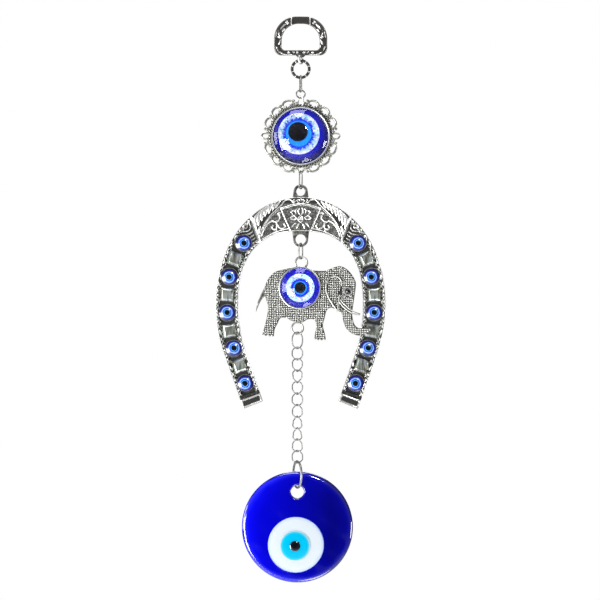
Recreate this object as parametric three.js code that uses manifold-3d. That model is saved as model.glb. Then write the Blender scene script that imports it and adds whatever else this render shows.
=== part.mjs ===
// Evil eye wall ornament, hung in one line: a cast D-ring hanger, an eye rosette, a horseshoe set with
// eye beads and square stones, a cast elephant inside it, a curb chain and a fused glass disc.
// Millimetres, +Z up, the front faces -Y. The origin is the middle of the hanger bar's underside,
// where a hook or nail carries the whole ornament. Every moving piece hangs on the one above by a wire
// crossing a wire, so each height is worked out from the piece that carries it.

import * as THREE from "three";
import { mergeVertices } from "three/addons/utils/BufferGeometryUtils.js";
import Module from "manifold-3d";

const wasm = await Module();
wasm.setup();

// ---- driving dimensions ----

const GAP = 0.08; // play between two wires that hang on each other
const SEAT = 0.1; // play under a piece that is set into a casting

const HANGER = {
  outer: { halfWidth: 11.95, top: 3.24, bottom: -14.2, topRadius: 10, bottomRadius: 3.4 },
  inner: { halfWidth: 8.55, top: 0, bottom: -11.9, topRadius: 7.6, bottomRadius: 1.6 },
  thickness: 2.8, bevel: 0.45, ribX: 4.2, ribWidth: 0.7, ribProud: 0.45, ribFrom: -0.5, ribTo: 2.6,
};
const EYELET = { radius: 1.8, wire: 0.55, centre: -16, turn: 65 };
const HANGER_RING = { radius: 3.85, wire: 0.65 };
const UPPER_LINK = { radius: 1.6, half: 3.75, wire: 0.33, turn: 102, twist: -12 };
const ROSETTE_RING = { radius: 1.75, spread: 1.23, wire: 0.34, turn: 25 };

const ROSETTE = {
  glass: 12.4, wall: 13.4, milgrain: 14, back: 1, milgrainFront: -0.7, wallFront: -2, print: 0.2,
  glassEdge: 1.2, glassHeight: 5.6,
  loopCentre: 15.35, loopRadial: 1.55, loopAcross: 2.35, loopWire: 0.42,
  pointCentre: 15.75, pointRadial: 1.75, pointAcross: 1.25, pointWire: 0.38,
  footCentre: 15.05, footRadial: 1.4, footAcross: 1.3,
  bailSeat: 13.2, // where the bail's lower end is buried in the wall
};
const BAIL = { radius: 1.45, half: 2.35, wire: 0.36, turn: -40 };
const CROWN_LINK = { radius: 1.9, half: 4, wire: 0.33, turn: 72, twist: 10 };

const SHOE = {
  outer: { halfWidth: 38.3, height: 48.4, power: 2.05, armRadius: 64, end: -46.8 },
  inner: { halfWidth: 28, height: 33.2, power: 2.45, armRadius: 70, end: -43.3 },
  armSlope: 19.3, // degrees, the arms' straight lower stretch to the vertical
  back: 1.8, floor: -0.6, rimFront: -1.9, crownFront: -2.9, heelFront: -2.3,
  root: 0.8, // how far back the raised parts run into the plate
  rim: 0.8, inset: 0.12, heel: 3.73, heelShort: 0.15,
  crownEnd: 0.393, // share of the upper quarter, from the top, that the raised crown covers
  stonePitch: 8.2, stones: 9,
};
const TOP_LUG = { hole: 1.95, aboveHole: 1.25, halfBase: 3.8, sink: 1.5, thickness: 1.6, rise: 2.55 };
const LOW_LUG = { hole: 2.3, belowHole: 1.1, halfBase: 3.95, drop: 3.8, sink: 1.5, thickness: 1.6 };
const EYE_BEAD = { radius: 3.7, wall: 0.9, height: 1.9 };
const SQUARE_STONE = { side: 6, table: 3.9, wall: 0.7, height: 1.7 };
const ELEPHANT_LINK = { radius: 1.7, half: 3.5, wire: 0.33, turn: 62, twist: 12 };

const ELEPHANT = {
  x: 0.3, yaw: -8, thickness: 2, bevel: 0.3,
  topLoop: { x: 0.4, z: 11.3, radius: 2.65, wire: 0.45 },
  lowLoop: { x: -1.4, z: -18.2, radius: 2.55, wire: 0.45 },
  glass: 8.85, bezel: 9.7, bezelFront: -2.3, bezelReach: 2, print: 0.2, glassEdge: 1, glassHeight: 4.2,
  earFront: -1.8, tailStep: 0.2, tuskWire: 0.6,
  eye: {
    x: 21.7, z: -1.6, ring: 2, ringProud: 0.45, hole: 1.3, stone: 1.15, stoneWall: 0.3, stoneHeight: 0.9,
  },
};
const CHAIN_RING = { radius: 3.25, half: 3.7, wire: 0.3, turn: 45 };
const CURB = { radius: 2.35, half: 2.89, wire: 0.27, quarterTwist: -45 };
const CURB_TURNS = [4, 22, 34, 16, -4, -22, -38, -42, -24, -6]; // how each link has settled, in degrees

const DISC_RING = { radius: 5.95, wire: 0.5, turn: -72 };
const DISC = {
  radius: 25, thickness: 4.6, edge: 1.7, edgeDepth: 1.53, hole: 2.94, lip: 0.7, holeAbove: 15.8,
  wireAboveHole: 1.85,
};
const DROPS = [
  { name: "white_glass_drop", radius: 12.55, height: 0.5, x: -0.7, z: -7.9 },
  { name: "cyan_glass_drop", radius: 6.7, height: 0.35, x: -0.9, z: -8.2 },
  { name: "black_glass_drop", radius: 2.33, height: 0.3, x: -1.05, z: -8.4 },
];

// ---- heights, from the hook down ----

/** Height of a wire's centre where it rests on top of the wire below which it was threaded. */
const restOn = (wireCentre, wire, ownWire) => wireCentre + wire + ownWire + GAP;

const HEIGHT = {};
HEIGHT.eyeletWire = EYELET.centre - EYELET.radius;
HEIGHT.hangerRing = restOn(HEIGHT.eyeletWire, EYELET.wire, HANGER_RING.wire) - HANGER_RING.radius;
HEIGHT.hangerRingWire = HEIGHT.hangerRing - HANGER_RING.radius;
HEIGHT.upperLink = restOn(HEIGHT.hangerRingWire, HANGER_RING.wire, UPPER_LINK.wire) - UPPER_LINK.half;
HEIGHT.upperLinkWire = HEIGHT.upperLink - UPPER_LINK.half;
HEIGHT.rosetteRing = restOn(HEIGHT.upperLinkWire, UPPER_LINK.wire, ROSETTE_RING.wire) - ROSETTE_RING.radius;
HEIGHT.rosetteRingWire = HEIGHT.rosetteRing - ROSETTE_RING.radius;
HEIGHT.bailWire = restOn(HEIGHT.rosetteRingWire, ROSETTE_RING.wire, BAIL.wire);
HEIGHT.rosette = HEIGHT.bailWire - 2 * BAIL.half - ROSETTE.bailSeat;
HEIGHT.footWire = HEIGHT.rosette - ROSETTE.footCentre - ROSETTE.footRadial;
HEIGHT.crownLink = restOn(HEIGHT.footWire, ROSETTE.pointWire, CROWN_LINK.wire) - CROWN_LINK.half;
HEIGHT.crownLinkWire = HEIGHT.crownLink - CROWN_LINK.half;
// a flat lug fills more of the link's round end than a wire would
const LUG_PLAY = 0.3;
HEIGHT.topHole = HEIGHT.crownLinkWire + CROWN_LINK.wire + LUG_PLAY - TOP_LUG.hole;
HEIGHT.shoe = HEIGHT.topHole - TOP_LUG.rise - SHOE.outer.height;
HEIGHT.lowHole = HEIGHT.shoe + SHOE.inner.height - LOW_LUG.drop;
HEIGHT.lowHoleBottom = HEIGHT.lowHole - LOW_LUG.hole;
HEIGHT.elephantLink = HEIGHT.lowHoleBottom + ELEPHANT_LINK.wire + LUG_PLAY - ELEPHANT_LINK.half;
HEIGHT.elephantLinkWire = HEIGHT.elephantLink - ELEPHANT_LINK.half;
HEIGHT.elephantLoopWire = restOn(HEIGHT.elephantLinkWire, ELEPHANT_LINK.wire, ELEPHANT.topLoop.wire);
HEIGHT.elephant = HEIGHT.elephantLoopWire - ELEPHANT.topLoop.radius - ELEPHANT.topLoop.z;
HEIGHT.lowLoopWire = HEIGHT.elephant + ELEPHANT.lowLoop.z - ELEPHANT.lowLoop.radius;
HEIGHT.chainRing = restOn(HEIGHT.lowLoopWire, ELEPHANT.lowLoop.wire, CHAIN_RING.wire) - CHAIN_RING.half;
HEIGHT.chainRingWire = HEIGHT.chainRing - CHAIN_RING.half;

// ---- materials ----

const paint = (color, roughness, metalness) => () =>
  new THREE.MeshStandardMaterial({ color, roughness, metalness });
const antiqueSilver = paint(0xa9aaa5, 0.36, 0.9);
const brightSilver = paint(0xd2d3d0, 0.22, 0.95);
const mirrorStone = paint(0x8b9499, 0.1, 0.9);
const printedEye = paint(0x2c66d8, 0.5, 0.2);
const clearGlass = paint(0xc4d4f4, 0.05, 0);
const eyeEnamel = paint(0x1b22a6, 0.12, 0);
const cobaltGlass = paint(0x1717c4, 0.08, 0);
const blackStone = paint(0x101014, 0.12, 0);
const dropPaints = [paint(0xf2f4f6, 0.1, 0), paint(0x1fb4e6, 0.1, 0), paint(0x08080c, 0.08, 0)];

// ---- helpers ----

const rad = THREE.MathUtils.degToRad;
const ornament = new THREE.Group();
ornament.name = "evil_eye_ornament";

/** Adds one named piece to a group. */
function addPiece(group, name, geometry, material) {
  const mesh = new THREE.Mesh(geometry, material());
  mesh.name = name;
  group.add(mesh);
  return mesh;
}

/** A closed solid for joining and cutting, from a three.js geometry. */
function solid(geometry) {
  const bare = (geometry.index ? geometry.toNonIndexed() : geometry.clone());
  bare.deleteAttribute("normal");
  bare.deleteAttribute("uv");
  const merged = mergeVertices(bare, 1e-5);
  const corners = merged.index.array;
  const triVerts = [];
  for (let i = 0; i < corners.length; i += 3) {
    const [a, b, c] = corners.subarray(i, i + 3);
    if (a !== b && b !== c && c !== a) triVerts.push(a, b, c);
  }
  return new wasm.Manifold(new wasm.Mesh({
    numProp: 3,
    vertProperties: new Float32Array(merged.attributes.position.array),
    triVerts: new Uint32Array(triVerts),
  }));
}

/** The geometry of several closed geometries joined, less those that are cut away. */
function joined(parts, cuts = []) {
  let body = solid(parts[0]);
  for (const part of parts.slice(1)) body = body.add(solid(part));
  for (const cut of cuts) body = body.subtract(solid(cut));
  const { vertProperties, triVerts } = body.getMesh();
  const geometry = new THREE.BufferGeometry();
  geometry.setAttribute("position", new THREE.BufferAttribute(vertProperties, 3));
  geometry.setIndex(new THREE.BufferAttribute(triVerts, 1));
  geometry.computeVertexNormals();
  return geometry;
}

/** A flat shape in X and Z, extruded from y = back towards the front, with optional bevelled edges. */
function plate(shape, back, front, bevel = 0, curveSegments = 8) {
  const geometry = new THREE.ExtrudeGeometry(shape, {
    depth: back - front - 2 * bevel,
    bevelEnabled: bevel > 0, bevelThickness: bevel, bevelSize: bevel, bevelOffset: -bevel,
    bevelSegments: 1, steps: 1, curveSegments,
  });
  return geometry.translate(0, 0, bevel).rotateX(Math.PI / 2).translate(0, back, 0);
}

/**
 * A closed wire ring or link standing in the XZ plane, turned about Z. Its round ends have the given
 * radius, pulled apart to the half length, and the top and bottom are twisted against each other.
 */
function link({ radius, wire, half = radius, turn = 0, twist = 0, spread = 1 }, sides = 6, steps = 16) {
  const geometry = new THREE.TorusGeometry(radius, wire, sides, steps);
  const at = geometry.attributes.position;
  const point = new THREE.Vector3();
  const up = new THREE.Vector3(0, 1, 0);
  for (let i = 0; i < at.count; i++) {
    point.fromBufferAttribute(at, i);
    const around = Math.atan2(point.y, point.x);
    const height = Math.abs(Math.sin(around)) < 1e-6 ? 0 : Math.sin(around);
    point.x += (spread - 1) * radius * Math.cos(around);
    point.y += Math.sign(height) * (half - radius);
    point.applyAxisAngle(up, rad(twist * height));
    at.setXYZ(i, point.x, point.y, point.z);
  }
  return geometry.rotateX(Math.PI / 2).rotateZ(rad(turn));
}

/** A round piece about the Y axis, its back at y = 0, from pairs of a radius and a height towards -Y. */
function turned(profile, segments) {
  const points = profile.map(([r, height]) => new THREE.Vector2(r, height));
  return new THREE.LatheGeometry(points, segments).rotateX(Math.PI);
}

/** Profile of a domed stone: flat back, short straight wall, and a cap worked out as part of a sphere. */
function domeProfile(radius, wall, height, rings) {
  const rise = height - wall;
  const sphere = (radius ** 2 + rise ** 2) / (2 * rise);
  const spread = Math.asin(radius / sphere);
  const cap = Array.from({ length: rings }, (_, i) => {
    const angle = spread * (1 - (i + 1) / rings);
    return [sphere * Math.sin(angle), wall + sphere * Math.cos(angle) - (sphere - rise)];
  });
  cap[rings - 1][0] = 0;
  return [[0, 0], [radius, 0], [radius, wall], ...cap];
}

/** A flat ring about the Y axis between two radii. */
function band(inner, outer, back, front, segments) {
  return turned([[inner, 0], [outer, 0], [outer, back - front], [inner, back - front], [inner, 0]], segments)
    .translate(0, back, 0);
}

// ---- hanger ----

/** An upright outline with two corner radii, as a path that starts at the bottom left. */
function archedOutline(path, { halfWidth: w, top, bottom, topRadius: rt, bottomRadius: rb }) {
  path.absarc(-w + rb, bottom + rb, rb, Math.PI, 1.5 * Math.PI);
  path.absarc(w - rb, bottom + rb, rb, 1.5 * Math.PI, 2 * Math.PI);
  path.absarc(w - rt, top - rt, rt, 0, 0.5 * Math.PI);
  path.absarc(-w + rt, top - rt, rt, 0.5 * Math.PI, Math.PI);
  path.closePath();
  return path;
}

function hangerFrame() {
  const outline = archedOutline(new THREE.Shape(), HANGER.outer);
  outline.holes.push(archedOutline(new THREE.Path(), HANGER.inner));
  const half = HANGER.thickness / 2;
  const frame = plate(outline, half, -half, HANGER.bevel, 4);
  const { ribX, ribWidth, ribProud, ribFrom, ribTo } = HANGER;
  const ribs = [-1, 1].map((side) =>
    new THREE.BoxGeometry(ribWidth, HANGER.thickness + 2 * ribProud, ribTo - ribFrom)
      .translate(side * ribX, 0, (ribFrom + ribTo) / 2));
  return joined([frame, ...ribs, link(EYELET, 6, 14).translate(0, 0, EYELET.centre)]);
}

addPiece(ornament, "hanger_frame", hangerFrame(), antiqueSilver);
addPiece(ornament, "hanger_ring", link(HANGER_RING, 6, 24), antiqueSilver)
  .position.z = HEIGHT.hangerRing;
addPiece(ornament, "upper_link", link(UPPER_LINK), brightSilver).position.z = HEIGHT.upperLink;
addPiece(ornament, "rosette_ring", link(ROSETTE_RING), brightSilver).position.z = HEIGHT.rosetteRing;

// ---- rosette ----

/** One wire loop of the rosette's lace edge, its middle at the given angle and distance. */
function laceLoop(angle, centre, radial, across, wire) {
  return link({ radius: radial, wire, spread: across / radial }, 5, 10)
    .translate(0, 0, centre)
    .rotateY(rad(90 - angle));
}

function rosetteFrame() {
  const { back, wallFront, wall, glass, milgrain, milgrainFront } = ROSETTE;
  const step = back - milgrainFront;
  const cup = turned([[0, 0], [milgrain, 0], [milgrain, step], [wall, step], [wall, back - wallFront],
    [glass + SEAT, back - wallFront], [glass + SEAT, back], [0, back]], 40).translate(0, back, 0);
  const parts = [cup, link(BAIL, 6, 16).translate(0, 0, HEIGHT.bailWire - BAIL.half - HEIGHT.rosette)];
  for (let i = 0; i < 16; i++) {
    const angle = i * 22.5;
    const cardinal = i % 4 === 0;
    if (i === 4) continue; // the bail stands here
    if (i === 12) {
      parts.push(laceLoop(angle, ROSETTE.footCentre, ROSETTE.footRadial, ROSETTE.footAcross,
        ROSETTE.pointWire));
    } else if (cardinal) {
      parts.push(laceLoop(angle, ROSETTE.pointCentre, ROSETTE.pointRadial, ROSETTE.pointAcross,
        ROSETTE.pointWire));
    } else {
      parts.push(laceLoop(angle, ROSETTE.loopCentre, ROSETTE.loopRadial, ROSETTE.loopAcross,
        ROSETTE.loopWire));
    }
  }
  return joined(parts);
}

const rosette = new THREE.Group();
rosette.position.z = HEIGHT.rosette;
ornament.add(rosette);
addPiece(rosette, "rosette_frame", rosetteFrame(), antiqueSilver);
addPiece(rosette, "rosette_print", turned([[0, 0], [ROSETTE.glass, 0], [ROSETTE.glass, ROSETTE.print],
  [0, ROSETTE.print]], 32), printedEye).position.y = -SEAT;
addPiece(rosette, "rosette_glass",
  turned(domeProfile(ROSETTE.glass, ROSETTE.glassEdge, ROSETTE.glassHeight, 4), 32), clearGlass)
  .position.y = -2 * SEAT - ROSETTE.print;

addPiece(ornament, "crown_link", link(CROWN_LINK), brightSilver).position.z = HEIGHT.crownLink;

// ---- horseshoe ----

/** Lengths of an arm's edge below the widest level: an arc, and the straight line that goes on from it. */
function armStretch({ armRadius, end }) {
  const slope = rad(SHOE.armSlope);
  return { slope, arc: armRadius * slope, straight: (-end - armRadius * Math.sin(slope)) / Math.cos(slope) };
}

/**
 * A point on the right half of the horseshoe's outer or inner edge. share runs from 0 at the top to 1 at
 * the widest level, where the superellipse ends, and to 2 at the heel, along an arc and a straight line.
 */
function shoeEdge(edge, share) {
  const { halfWidth, height, power, armRadius } = edge;
  if (share <= 1) {
    const angle = (1 - share) * Math.PI / 2;
    return new THREE.Vector2(halfWidth * Math.max(Math.cos(angle), 0) ** (2 / power),
      height * Math.max(Math.sin(angle), 0) ** (2 / power));
  }
  const { slope, arc, straight } = armStretch(edge);
  const along = (share - 1) * (arc + straight);
  const turn = Math.min(along / armRadius, slope);
  const beyond = Math.max(along - arc, 0);
  return new THREE.Vector2(halfWidth - armRadius * (1 - Math.cos(turn)) - beyond * Math.sin(slope),
    -armRadius * Math.sin(turn) - beyond * Math.cos(slope));
}

/** A point of the band, the inset away from its inner edge, or from its outer edge. */
function acrossBand(share, inset, fromOuter) {
  const inner = shoeEdge(SHOE.inner, share);
  const outer = shoeEdge(SHOE.outer, share);
  const out = outer.clone().sub(inner).normalize();
  return fromOuter ? outer.addScaledVector(out, -inset) : inner.addScaledVector(out, inset);
}

/** A strip of the band between two shares, from one side to the other of its width. */
function strip(side, from, to, steps, low, high) {
  const shares = Array.from({ length: steps + 1 }, (_, i) => from + (to - from) * i / steps);
  const there = shares.map((share) => high(share));
  const back = shares.map((share) => low(share)).reverse();
  const points = [...there, ...back].map((point) => new THREE.Vector2(side * point.x, point.y));
  return new THREE.Shape(points);
}

const innerSide = (inset) => (share) => acrossBand(share, inset, false);
const outerSide = (inset) => (share) => acrossBand(share, inset, true);

/** The whole band from heel to heel, or the part of it up to a share on both sides. */
function arch(to, steps, inset) {
  const right = strip(1, 0, to, steps, innerSide(inset), outerSide(inset)).getPoints();
  const outer = right.slice(0, steps + 1);
  const inner = right.slice(steps + 1);
  const mirrored = (points) => points.map((point) => new THREE.Vector2(-point.x, point.y)).reverse();
  return new THREE.Shape([...mirrored(outer.slice(1)), ...outer, ...inner, ...mirrored(inner.slice(0, -1))]);
}

/** A lug's outline: a tapering tab whose round end goes round the hole. */
function lugShape(halfBase, baseZ, holeZ, endRadius) {
  const up = holeZ > baseZ;
  const shape = new THREE.Shape();
  shape.moveTo(-halfBase, baseZ);
  shape.lineTo(halfBase, baseZ);
  shape.absarc(0, holeZ, endRadius, 0, up ? Math.PI : -Math.PI, !up);
  shape.closePath();
  return shape;
}

function horseshoe() {
  const { back, root, floor, rimFront, crownFront, heelFront, rim, inset, crownEnd } = SHOE;
  const { arc, straight } = armStretch(SHOE.outer);
  const heelFrom = 2 - SHOE.heel / (arc + straight);
  const heelTo = 2 - SHOE.heelShort / (arc + straight);
  const rimFrom = crownEnd - 0.02; // a little way in under the crown
  const parts = [plate(arch(2, 24, 0), back, floor), plate(arch(crownEnd, 8, inset), root, crownFront)];
  for (const side of [-1, 1]) {
    parts.push(
      plate(strip(side, rimFrom, 2, 20, outerSide(rim), outerSide(inset)), root, rimFront),
      plate(strip(side, rimFrom, 2, 20, innerSide(inset), innerSide(rim)), root, rimFront),
      plate(strip(side, heelFrom, heelTo, 2, innerSide(inset), outerSide(inset)), root, heelFront));
  }
  const topZ = HEIGHT.topHole - HEIGHT.shoe;
  const lowZ = HEIGHT.lowHole - HEIGHT.shoe;
  const half = TOP_LUG.thickness / 2;
  const topEnd = TOP_LUG.hole + TOP_LUG.aboveHole;
  const lowEnd = LOW_LUG.hole + LOW_LUG.belowHole;
  parts.push(
    plate(lugShape(TOP_LUG.halfBase, SHOE.outer.height - TOP_LUG.sink, topZ, topEnd), half, -half),
    plate(lugShape(LOW_LUG.halfBase, SHOE.inner.height + LOW_LUG.sink, lowZ, lowEnd), half, -half));
  const drillLength = 5 * TOP_LUG.thickness;
  const drill = (radius, z) =>
    new THREE.CylinderGeometry(radius, radius, drillLength, 24).translate(0, 0, z);
  return joined(parts, [drill(TOP_LUG.hole, topZ), drill(LOW_LUG.hole, lowZ)]);
}

/** Places along the middle of one arm, one stone pitch apart, each with the arm's direction there. */
function stonePlaces(side) {
  const middle = (share) => acrossBand(share, 0, false).add(acrossBand(share, 0, true)).multiplyScalar(0.5);
  const places = [];
  let here = middle(SHOE.crownEnd);
  const pace = 0.001;
  let walked = 0;
  for (let share = SHOE.crownEnd; places.length < SHOE.stones; share += pace) {
    const next = middle(share);
    walked += next.distanceTo(here);
    if (walked >= SHOE.stonePitch * (places.length + 1)) {
      places.push({ x: side * next.x, z: next.y, lean: side * Math.atan2(next.x - here.x, here.y - next.y) });
    }
    here = next;
  }
  return places;
}

const shoe = new THREE.Group();
shoe.position.z = HEIGHT.shoe;
ornament.add(shoe);
addPiece(shoe, "horseshoe_casting", horseshoe(), antiqueSilver);

for (const [sideName, side] of [["left", -1], ["right", 1]]) {
  stonePlaces(side).forEach(({ x, z, lean }, i) => {
    const number = Math.floor(i / 2) + 1;
    const isEye = i % 2 === 0;
    const { height, wall } = isEye ? EYE_BEAD : SQUARE_STONE;
    const corner = SQUARE_STONE.side / Math.SQRT2;
    const geometry = isEye
      ? turned(domeProfile(EYE_BEAD.radius, wall, height, 3), 14)
      : turned([[0, 0], [corner, 0], [corner, wall], [SQUARE_STONE.table / Math.SQRT2, height],
        [0, height]], 4).rotateY(Math.PI / 4 - lean);
    const name = `${isEye ? "eye_bead" : "square_stone"}_${sideName}_${number}`;
    addPiece(shoe, name, geometry, isEye ? eyeEnamel : mirrorStone).position.set(x, SHOE.floor - SEAT, z);
  });
}

addPiece(ornament, "elephant_link", link(ELEPHANT_LINK), brightSilver).position.z = HEIGHT.elephantLink;

// ---- elephant: outline points are X and Z from the middle of its eye cabochon ----

/** Points of a smooth stretch of outline. */
const stretch = (...pairs) => pairs.map(([x, z]) => new THREE.Vector2(x, z));

function elephantOutline() {
  const shape = new THREE.Shape();
  shape.moveTo(-8.3, 8.1);
  shape.splineThru(stretch([-4, 9], [2, 8.8], [6.4, 7.8], [11.5, 7.8], [15.8, 9.4], [18.6, 9.7],
    [21.8, 7.7], [24.6, 3.8], [25.1, 0.8], [24.4, -4.4], [23.6, -10], [23.6, -13], [24.6, -16.5],
    [26.8, -18.1], [30.8, -17.8])); // back, forehead and the front of the trunk
  shape.splineThru(stretch([32, -18.3], [31.3, -20], [28, -21.4], [24.4, -21], [21.2, -18.8],
    [19.5, -15.2], [18.7, -11.5], [16.8, -10.3])); // trunk tip and the back of the trunk
  shape.splineThru(stretch([14.2, -9], [12, -10], [11, -13.4], [10.2, -17], [11.1, -20.8], [11.5, -23.6]));
  shape.lineTo(6.2, -23.2);
  shape.splineThru(stretch([6.7, -20.2], [7.2, -17.3], [6.4, -14.4], [3.4, -14.2], [0.4, -15.6],
    [-3.9, -14.9], [-6.2, -13.6], [-9.1, -13.7], [-10.6, -16.4], [-11.7, -18.6], [-12.1, -21.9]));
  shape.lineTo(-17.3, -21.2);
  shape.splineThru(stretch([-16.4, -17.8], [-15.2, -13], [-14.7, -8.4], [-15.7, -4.8], [-16.4, -0.8],
    [-15.4, 2.6], [-13.6, 5.4], [-11.2, 7.3], [-8.3, 8.1]));
  return shape;
}

function tailOutline() {
  const shape = new THREE.Shape();
  shape.moveTo(-15.6, 1.6);
  shape.splineThru(stretch([-17.9, -2.8], [-19.6, -7], [-20.3, -11]));
  shape.splineThru(stretch([-18.9, -7.6], [-17.2, -4.7], [-15.2, -3.2]));
  shape.closePath();
  return shape;
}

function earOutline() {
  const shape = new THREE.Shape();
  shape.moveTo(17.6, -1.8);
  shape.splineThru(stretch([19.1, 1.7], [17.9, 4.3], [15.2, 5.2], [12.6, 3.3], [11.8, -0.5], [13.2, -5.2],
    [16.9, -10], [16.9, -6.2], [17.6, -1.8]));
  return shape;
}

/** The tusk, a bar that curves forward past the trunk. */
function tusk() {
  const path = new THREE.QuadraticBezierCurve3(new THREE.Vector3(17.2, -1.4, -6.2),
    new THREE.Vector3(21.8, -1.6, -10), new THREE.Vector3(27.3, -0.9, -11.7));
  const section = new THREE.Shape();
  section.absarc(0, 0, ELEPHANT.tuskWire, 0, 2 * Math.PI);
  return new THREE.ExtrudeGeometry(section, { extrudePath: path, steps: 8, curveSegments: 3 });
}

function elephantCasting() {
  const { topLoop, lowLoop, bezel, glass, bezelFront, bezelReach, earFront, tailStep, eye } = ELEPHANT;
  const half = ELEPHANT.thickness / 2;
  const faceStep = 0.05; // keeps the bezel's foot just inside the plate's faces
  const parts = [
    plate(elephantOutline(), half, -half, ELEPHANT.bevel, 2),
    plate(tailOutline(), half - tailStep, -half + tailStep, 0, 2),
    plate(earOutline(), 0, earFront, 0, 2),
    tusk(),
    band(glass - bezelReach, bezel, half - faceStep, -half + faceStep, 28),
    band(glass + SEAT, bezel, 0, bezelFront, 28),
    band(eye.hole, eye.ring, 0, -half - eye.ringProud, 14).translate(eye.x, 0, eye.z),
    link(topLoop).translate(topLoop.x, 0, topLoop.z),
    link(lowLoop).translate(lowLoop.x, 0, lowLoop.z),
  ];
  return joined(parts);
}

const elephant = new THREE.Group();
const elephantPivot = ELEPHANT.topLoop.x;
elephant.rotation.z = rad(ELEPHANT.yaw);
elephant.position.set(ELEPHANT.x, 0, HEIGHT.elephant);
ornament.add(elephant);

/** Adds a piece of the elephant, measured from its cabochon, so that the top loop hangs on the pivot. */
function addToElephant(name, geometry, material, y = 0) {
  addPiece(elephant, name, geometry.translate(-elephantPivot, y, 0), material);
}

const plateFront = -ELEPHANT.thickness / 2;
addToElephant("elephant_casting", elephantCasting(), antiqueSilver);
addToElephant("elephant_print", turned([[0, 0], [ELEPHANT.glass, 0], [ELEPHANT.glass, ELEPHANT.print],
  [0, ELEPHANT.print]], 28), printedEye, plateFront - SEAT);
addToElephant("elephant_glass",
  turned(domeProfile(ELEPHANT.glass, ELEPHANT.glassEdge, ELEPHANT.glassHeight, 4), 28), clearGlass,
  plateFront - 2 * SEAT - ELEPHANT.print);
const { stone, stoneWall, stoneHeight } = ELEPHANT.eye;
addToElephant("elephant_eye_stone", turned(domeProfile(stone, stoneWall, stoneHeight, 3), 12)
  .translate(ELEPHANT.eye.x, 0, ELEPHANT.eye.z), blackStone, plateFront - SEAT);

// ---- chain: each curb link is an oval twisted a quarter turn, so that its neighbours cross it square ----

const chain = new THREE.Group();
const lowLoopReach = ELEPHANT.lowLoop.x - elephantPivot;
chain.position.set(ELEPHANT.x + lowLoopReach * Math.cos(rad(ELEPHANT.yaw)),
  lowLoopReach * Math.sin(rad(ELEPHANT.yaw)), 0);
ornament.add(chain);

addPiece(chain, "chain_ring", link(CHAIN_RING, 6, 20), brightSilver).position.z = HEIGHT.chainRing;
let carrier = { wireCentre: HEIGHT.chainRingWire, wire: CHAIN_RING.wire };
CURB_TURNS.forEach((turn, i) => {
  const centre = restOn(carrier.wireCentre, carrier.wire, CURB.wire) - CURB.half;
  const name = `chain_link_${String(i + 2).padStart(2, "0")}`;
  addPiece(chain, name, link({ ...CURB, turn, twist: CURB.quarterTwist }), brightSilver).position.z = centre;
  carrier = { wireCentre: centre - CURB.half, wire: CURB.wire };
});
const discRingZ = restOn(carrier.wireCentre, carrier.wire, DISC_RING.wire) - DISC_RING.radius;
addPiece(chain, "disc_ring", link(DISC_RING, 6, 24), brightSilver).position.z = discRingZ;

// ---- glass disc ----

/** A round plate of glass with a soft edge, and a hole whose lips are rounded by the fire. */
function glassDisc() {
  const { radius, thickness, edge, edgeDepth, hole, lip, holeAbove } = DISC;
  const corner = (front) => Array.from({ length: 4 }, (_, i) => {
    const angle = Math.PI / 2 * (front ? i : 3 - i) / 3;
    const fall = edgeDepth * (1 - Math.sin(angle));
    return [radius - edge * (1 - Math.cos(angle)), front ? thickness - fall : fall];
  });
  const blank = turned([[0, 0], ...corner(false), ...corner(true), [0, thickness]], 44);
  const clear = 1; // the drill starts and ends this far outside the glass
  const drill = turned([[0, -clear], [hole + lip + clear, -clear], [hole + lip, 0], [hole, lip],
    [hole, thickness - lip], [hole + lip, thickness], [hole + lip + clear, thickness + clear],
    [0, thickness + clear]], 20).translate(0, 0, holeAbove);
  return joined([blank], [drill]);
}

const disc = new THREE.Group();
const ringWire = discRingZ - DISC_RING.radius;
disc.position.set(chain.position.x, chain.position.y, ringWire - DISC.wireAboveHole - DISC.holeAbove);
ornament.add(disc);
addPiece(disc, "glass_disc", glassDisc(), cobaltGlass).position.y = DISC.thickness / 2;
let front = -DISC.thickness / 2;
DROPS.forEach(({ name, radius, height, x, z }, i) => {
  const profile = [[0, 0], [radius, 0], [radius - height / 2, height], [0, height]];
  addPiece(disc, name, turned(profile, 36 - 8 * i), dropPaints[i]).position.set(x, front - SEAT, z);
  front -= height + SEAT;
});

export default ornament;
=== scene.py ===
# %% [markdown]
# # An evil eye hanging, piece by piece
# The ornament hangs in one line from a D-ring: an eye rosette, a horseshoe set with beads and stones, an
# elephant inside it, a curb chain and a disc of fused glass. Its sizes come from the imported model, which is
# loaded first and stays as it is. Every visible piece is then made as a fine surface in the same frame,
# worked out in millimetres with numpy and turned into metres when its mesh is made.

import math

import bmesh
import bpy
import numpy as np
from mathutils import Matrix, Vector, geometry


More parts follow.
